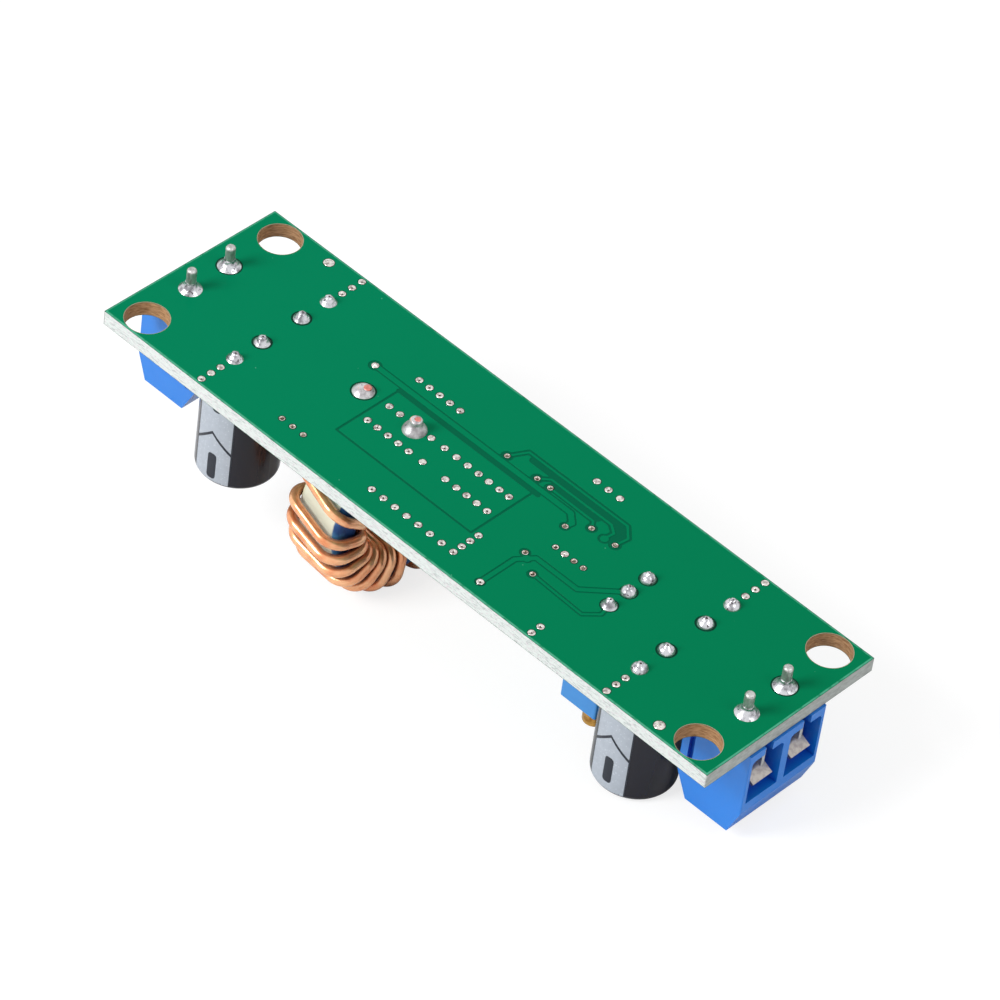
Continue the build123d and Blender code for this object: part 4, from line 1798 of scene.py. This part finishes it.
@dataclass
class Studio:
    """Floor, light and camera."""

    camera_place: tuple = (242.6, -302.9, 372.1)
    camera_right: tuple = (0.71241998, 0.69387974, 0.10482686)
    camera_up: tuple = (-0.54072428, 0.44757035, 0.71224857)
    camera_back: tuple = (0.44729746, -0.56410255, 0.69405569)
    lens: float = 213.92
    floor_half: float = 1500.0
    floor_drop: float = 0.05
    background: float = 1.0
    daylight: float = 0.55
    lamp_size: float = 300.0
    key_place: tuple = (-260.0, -520.0, 420.0)
    key_power: float = 4.0
    fill_place: tuple = (420.0, 120.0, 560.0)
    fill_power: float = 0.7

    def build(self) -> None:
        """Sets everything up."""
        self.floor(Floor().make())
        self.world()
        self.lamp("key_lamp", self.key_place, self.key_power)
        self.lamp("fill_lamp", self.fill_place, self.fill_power)
        self.camera()

    def floor(self, finish: bpy.types.Material) -> bpy.types.Object:
        """Lays the floor under the winding and the input capacitors, which the part rests on.

        Args:
            finish: Its material.

        Returns:
            The floor.
        """
        winding_low, winding_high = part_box("inductor_winding")
        sleeve_low, sleeve_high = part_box("input_capacitor_1_sleeve")
        first = Vector(((winding_low.x + winding_high.x) / 2, 0.0, winding_low.z))
        second = Vector((sleeve_high.x - 0.5 * MM, 0.0, sleeve_low.z))
        run = (second - first).normalized()
        across = Vector((0.0, 1.0, 0.0))
        reach = self.floor_half * MM
        turns = ((-1, -1), (1, -1), (1, 1), (-1, 1))
        corners = [first + run * a * reach + across * b * reach for a, b in turns]
        drop = run.cross(across) * self.floor_drop * MM
        mesh = bpy.data.meshes.new("studio_floor")
        mesh.from_pydata([corner - drop for corner in corners], [], [(0, 1, 2, 3)])
        mesh.materials.append(finish)
        floor = bpy.data.objects.new("studio_floor", mesh)
        bpy.context.scene.collection.objects.link(floor)
        return floor

    def lamp(self, name: str, place: tuple, power: float) -> bpy.types.Object:
        """Hangs a soft square lamp that faces the part.

        Args:
            name: Name of the lamp.
            place: Where it hangs.
            power: Power in watts.

        Returns:
            The lamp.
        """
        light = bpy.data.lights.new(name, "AREA")
        light.shape = "SQUARE"
        light.size = self.lamp_size * MM
        light.energy = power
        lamp = bpy.data.objects.new(name, light)
        lamp.location = Vector(place) * MM
        lamp.rotation_euler = (-lamp.location).to_track_quat("-Z", "Y").to_euler()
        bpy.context.scene.collection.objects.link(lamp)
        return lamp

    def world(self) -> None:
        """Gives even light, and a white background to camera and reflections."""
        world = bpy.data.worlds.new("studio_white")
        world.use_nodes = True
        nodes, links = world.node_tree.nodes, world.node_tree.links
        back = nodes["Background"]
        back.inputs["Color"].default_value = (1.0, 1.0, 1.0, 1.0)
        path = nodes.new("ShaderNodeLightPath")
        seen = path.outputs["Is Camera Ray"]
        for kind in ("Is Glossy Ray", "Is Transmission Ray"):
            either = nodes.new("ShaderNodeMath")
            either.operation = "MAXIMUM"
            links.new(seen, either.inputs[0])
            links.new(path.outputs[kind], either.inputs[1])
            seen = either.outputs[0]
        level = nodes.new("ShaderNodeMapRange")
        links.new(seen, level.inputs["Value"])
        level.inputs["To Min"].default_value = self.daylight
        level.inputs["To Max"].default_value = self.background
        links.new(level.outputs["Result"], back.inputs["Strength"])
        bpy.context.scene.world = world

    def camera(self) -> bpy.types.Object:
        """Sets the camera at the photograph's viewing angle.

        Returns:
            The camera.
        """
        data = bpy.data.cameras.new("photo_camera")
        data.sensor_width = 36.0
        data.lens = self.lens
        data.clip_start = 0.01
        camera = bpy.data.objects.new("photo_camera", data)
        columns = (self.camera_right, self.camera_up, self.camera_back)
        turn = Matrix([[column[row] for column in columns] for row in range(3)]).to_4x4()
        camera.matrix_world = Matrix.Translation(Vector(self.camera_place) * MM) @ turn
        bpy.context.scene.collection.objects.link(camera)
        bpy.context.scene.camera = camera
        return camera


PLAIN_FINISHES = (
    BrightMetal(
        "solder", from_srgb(214, 214, 219), from_srgb(136, 134, 140), patch=0.7,
        relief=0.030, metal=0.85, stain_from=0.62,
    ),
    BrightMetal(
        "grey_solder", from_srgb(206, 204, 206), from_srgb(158, 152, 156), patch=0.8,
        low_rough=0.22, high_rough=0.42, relief=0.030, metal=0.5, stain_from=0.66,
    ),
    BrightMetal(
        "via_solder", from_srgb(232, 228, 222), from_srgb(150, 136, 132), patch=0.32,
        relief=0.020, metal=0.85, stain_from=0.66,
    ),
    BrightMetal(
        "via_ring", from_srgb(216, 212, 204), from_srgb(132, 110, 96), patch=0.35,
        low_rough=0.15, high_rough=0.36, metal=0.85,
    ),
    BrightMetal(
        "tin_plate", from_srgb(200, 200, 198), from_srgb(156, 154, 152), patch=0.5,
        low_rough=0.34, high_rough=0.50, relief=0.006, stretch=(1.5, 1.5, 0.5), metal=0.85,
    ),
    BrightMetal(
        "clamp_leaf", from_srgb(182, 176, 170), from_srgb(158, 150, 148), patch=0.4,
        low_rough=0.28, high_rough=0.42, relief=0.004, metal=0.85,
    ),
    BrightMetal(
        "tinned_copper", from_srgb(226, 150, 138), from_srgb(196, 100, 92), patch=0.45,
        low_rough=0.2, high_rough=0.4, metal=0.8, stain_from=0.62,
    ),
    BrightMetal(
        "zinc_plate", from_srgb(200, 202, 200), from_srgb(140, 142, 138), patch=0.9,
        low_rough=0.20, high_rough=0.40,
    ),
    BrightMetal(
        "can_aluminium", from_srgb(206, 208, 210), from_srgb(178, 180, 184), patch=1.5,
        low_rough=0.22, high_rough=0.36,
    ),
    BrightMetal(
        "brass", from_srgb(224, 172, 92), from_srgb(170, 116, 50), patch=0.9,
        low_rough=0.18, high_rough=0.36,
    ),
    MouldedPlastic("trimmer_blue", from_srgb(64, 142, 212), from_srgb(44, 112, 188)),
    MouldedPlastic(
        "sleeve_black", from_srgb(30, 29, 38), from_srgb(20, 19, 27),
        low_rough=0.10, high_rough=0.16, specular=0.28, patch=5.0, depth=0.0012,
    ),
    MouldedPlastic("rubber_bung", from_srgb(30, 30, 30), from_srgb(18, 18, 18), 0.6, 0.8, 0.3),
    MouldedPlastic("package_epoxy", from_srgb(38, 38, 40), from_srgb(24, 24, 26), 0.5, 0.7, 0.35),
    MouldedPlastic("chip_glaze", from_srgb(34, 34, 38), from_srgb(20, 20, 24), 0.2, 0.35),
    MouldedPlastic("chip_ceramic", from_srgb(168, 138, 100), from_srgb(140, 112, 80), 0.35, 0.5),
    MouldedPlastic(
        "laminate_rim", from_srgb(206, 176, 156), from_srgb(150, 116, 92), 0.6, 0.8, 0.2,
        patch=0.6,
    ),
    MouldedPlastic("print_dark", from_srgb(38, 42, 52), from_srgb(28, 31, 40), 0.3, 0.45, 0.3),
    MouldedPlastic("flux", from_srgb(74, 52, 48), from_srgb(48, 34, 34), 0.3, 0.45, 0.3),
    # Colour of the outlines: partly flux and partly painted shadow round the pads and joints.
    MouldedPlastic("outlined_mask", from_srgb(4, 60, 45), from_srgb(2, 44, 33), 0.3, 0.4, 0.05),
)


class Palette:
    """The plain finishes of the module, each made once."""

    def __init__(self) -> None:
        """Makes the materials."""
        self._made = {finish.name: finish.make() for finish in PLAIN_FINISHES}

    def __getitem__(self, name: str) -> bpy.types.Material:
        """Gives the material of a finish."""
        return self._made[name]


@dataclass
class SubAssembly:
    """One part of the module: its CAD nodes and the finishes that it takes."""

    nodes: Nodes
    palette: Palette

    def coat(self, finish: bpy.types.Material, *endings: str) -> None:
        """Dresses every CAD node whose name ends in one of the given words.

        Args:
            finish: The material.
            endings: Last words of the names.
        """
        for name, node in self.nodes.items():
            if name.endswith(endings):
                node.data.materials.clear()
                node.data.materials.append(finish)
                LOG.info("%s: %s", name, finish.name)

    def spots(self, name: str) -> list[Spot]:
        """Gives the round bodies of a CAD node."""
        return upright_spots(self.nodes[name].data)


@dataclass
class SolderJoints(SubAssembly):
    """The joints of the terminals, capacitors and trimmer, with their marks of flux."""

    terminal_pin: Lead = Lead(0.475, 2.5)
    capacitor_lead: Lead = Lead(0.30, 0.75, 0.90)
    trimmer_pin: Lead = Lead(0.25, 0.80, 0.93)
    terminal_outline: float = 0.16
    capacitor_outline: float = 0.20
    coil_outline: float = 0.17
    trimmer_outline: float = 0.14
    inner_leads: float = 4.3
    peaks_before_y: float = -1.0

    def outlines(self) -> list[tuple[Spot, float]]:
        """Gives each joint that has a dark outline, and how far the outline reaches from it.

        Returns:
            The joints with their reaches.
        """
        terminals = [spot for spot in self.spots("terminal_solder") if spot.y > 0]
        leads = self.spots("capacitor_solder")
        inner = [spot for spot in leads if abs(spot.y) < self.inner_leads]
        low_end = self.spots("inductor_solder")[:1]
        trimmer = self.spots("trimmer_solder")
        return [
            (spot.resized(share), reach)
            for spots, share, reach in (
                (terminals, 1.0, self.terminal_outline),
                (inner, self.capacitor_lead.share, self.capacitor_outline),
                (low_end, 1.0, self.coil_outline),
                (trimmer, self.trimmer_pin.share, self.trimmer_outline),
            )
            for spot in spots
        ]

    def build(self) -> None:
        """Builds the joints and their marks."""
        work = SolderWork(self.palette["solder"])
        marks = MeshBag()
        work.joints(
            "terminal_joints", self.nodes["terminal_solder"],
            lambda spot: JointForm.CONE, self.terminal_pin,
        )
        work.joints(
            "capacitor_joints", self.nodes["capacitor_solder"],
            lambda spot: JointForm.PEAK if spot.x < 0 else JointForm.DOME,
            self.capacitor_lead, marks,
        )
        work.joints(
            "trimmer_joints", self.nodes["trimmer_solder"],
            lambda spot: JointForm.PEAK if spot.y < self.peaks_before_y else JointForm.DOME,
            self.trimmer_pin, marks,
        )
        marks.piece("joint_flux_marks", self.palette["flux"], 40.0)


@dataclass
class CircuitBoard(SubAssembly):
    """The board: laminate, copper under the mask, vias, outlines and hole rims."""

    outlined: Sequence[tuple[Spot, float]] = ()
    fixing_hole_from: float = 2.0
    open_via_to: float = 0.25
    lone_via_x: float = -16.98
    lone_pad_radius: float = 0.475
    lone_pad_gap: float = 0.22
    outline_overlap: float = 0.02
    via_outline: float = 0.05
    open_via_outline: float = 0.07

    def build(self) -> None:
        """Dresses the laminate and builds what lies on it."""
        self.coat(BoardFinish().make(), "circuit_board")
        holes = board_holes(self.nodes["circuit_board"].data)
        vias = self.spots("vias")
        open_vias = [hole for hole in holes if hole.radius < self.open_via_to]
        fixing = [hole for hole in holes if hole.radius > self.fixing_hole_from]

        apart = [Pad(spot.x, spot.y, spot.radius, reach) for spot, reach in self.outlined]
        apart += [
            Pad(via.x, via.y, self.lone_pad_radius, self.lone_pad_gap)
            for via in vias if abs(via.x - self.lone_via_x) < 0.05
        ]
        pour = CopperPour(MaskOverCopper().make(), holes)
        pour.solder_face(apart)
        pour.component_face()

        via_work = ViaWork(
            self.palette["via_solder"], self.palette["via_ring"], self.palette["flux"],
        )
        via_work.filled(vias)
        via_work.open(open_vias)

        margin = via_work.pad_margin
        rings = [(spot, reach - self.outline_overlap, 0.0) for spot, reach in self.outlined]
        for places, reach in ((vias, self.via_outline), (open_vias, self.open_via_outline)):
            rings += [(via.resized(margin=margin), reach, BOARD.sheet) for via in places]
        FluxAndShadeRings(self.palette["outlined_mask"]).build(rings)
        HoleRims(self.palette["laminate_rim"]).build(fixing)


@dataclass
class TerminalBlocks(SubAssembly):
    """Both terminal blocks: housings with their grooves, contacts, leaves and screws."""

    input_groove: float = 31.95
    output_groove: float = -32.4

    def build(self) -> None:
        """Dresses the metalwork and cuts the grooves of the housings."""
        self.coat(self.palette["tin_plate"], "_contact_1", "_contact_2")
        self.coat(self.palette["clamp_leaf"], "_clamp_leaf_1", "_clamp_leaf_2")
        self.coat(self.palette["zinc_plate"], "_clamp_screw_1", "_clamp_screw_2")
        blue = TerminalPlastic().make()
        self.coat(blue, "_terminal_housing")
        groove = HousingGroove(blue)
        for name, node_name, middle, side in (
            ("input_housing_grooved", "input_terminal_housing", self.input_groove, Side.NEAR),
            ("output_housing_grooved", "output_terminal_housing", self.output_groove, Side.FAR),
        ):
            groove.cut(name, self.nodes[node_name], middle, side)


@dataclass
class Capacitors(SubAssembly):
    """The four capacitors, each with its print."""

    prints: Sequence[StripePlace] = (
        StripePlace("output_capacitor_1", -86.5, -7.76),
        StripePlace("output_capacitor_2", 84.0, -7.45),
        StripePlace("input_capacitor_1", -91.0, -7.16),
        StripePlace("input_capacitor_2", 88.0, -7.60),
    )

    def build(self) -> None:
        """Dresses the solids and prints the stripes."""
        self.coat(self.palette["tin_plate"], "capacitor_1_leads", "capacitor_2_leads")
        self.coat(self.palette["can_aluminium"], "_can")
        self.coat(self.palette["sleeve_black"], "_sleeve")
        self.coat(self.palette["rubber_bung"], "_bung")
        capacitor_print = CapacitorPrint(PrintedStripe().make(), self.palette["print_dark"])
        for place in self.prints:
            capacitor_print.build(place, self.nodes[f"{place.name}_sleeve"])


@dataclass
class Inductor(SubAssembly):
    """The ring inductor: core, winding and its soldered ends."""

    blue_from: float = 2.42
    wire_tips: Sequence[float] = (0.50, 1.35)

    def build(self) -> None:
        """Dresses the ring and its wire, and builds the joints of the wire's ends."""
        centre, axis = ring_axis()
        self.coat(CorePaint(tuple(centre), tuple(axis), self.blue_from).make(), "inductor_core")
        self.coat(EnamelledCopper().make(), "inductor_winding")
        ends = CoilEnds(self.palette["grey_solder"], self.palette["tinned_copper"])
        ends.build(self.nodes["inductor_solder"], self.wire_tips)


@dataclass
class Trimmer(SubAssembly):
    """The multi-turn trimmer."""

    def build(self) -> None:
        """Dresses the case, its pins and its screw."""
        self.coat(self.palette["trimmer_blue"], "trimmer_case")
        self.coat(self.palette["tin_plate"], "trimmer_pins")
        self.coat(self.palette["brass"], "trimmer_screw")


@dataclass
class SurfaceParts(SubAssembly):
    """The parts of the component side: regulator, diode and chips."""

    def build(self) -> None:
        """Dresses the packages and builds the chips' end caps."""
        self.coat(self.palette["package_epoxy"], "regulator_package", "diode_package")
        self.coat(self.palette["tin_plate"], "regulator_leads", "diode_leads")
        self.coat(self.palette["chip_glaze"], "chip_resistors")
        self.coat(self.palette["chip_ceramic"], "ceramic_capacitors")
        ends = ChipEnds(self.palette["solder"])
        ends.build("resistor_ends", self.nodes["chip_resistors"])
        ends.build("ceramic_ends", self.nodes["ceramic_capacitors"])


def ring_axis() -> tuple[Vector, Vector]:
    """Gives the centre of the ring core in millimetres and the way its axis points.

    The axis is the core's shortest way through, found from its points.

    Returns:
        The centre and the axis.
    """
    mesh = bpy.data.objects["inductor_core"].data
    points = np.empty(len(mesh.vertices) * 3)
    mesh.vertices.foreach_get("co", points)
    points = np.unique(np.round(points.reshape(-1, 3) / MM, 4), axis=0)
    low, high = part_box("inductor_core")
    centre = (low + high) / 2 / MM
    spread = points - np.array(centre)
    _, ways = np.linalg.eigh(spread.T @ spread)
    axis = Vector(ways[:, 0])
    return centre, axis if axis.x > 0 else -axis


def main() -> None:
    """Builds the scene: the frame, the sub-assemblies over it and the studio."""
    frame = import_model()
    logging.basicConfig(level=logging.INFO, format="%(message)s")
    bpy.context.scene.view_settings.view_transform = "Standard"

    nodes = frame["nodes"]
    palette = Palette()
    joints = SolderJoints(nodes, palette)
    for assembly in (
        CircuitBoard(nodes, palette, joints.outlines()),
        joints,
        TerminalBlocks(nodes, palette),
        Capacitors(nodes, palette),
        Inductor(nodes, palette),
        Trimmer(nodes, palette),
        SurfaceParts(nodes, palette),
    ):
        assembly.build()
        LOG.info("%s: built", type(assembly).__name__)
    Studio().build()


if __name__ == "__main__":
    main()
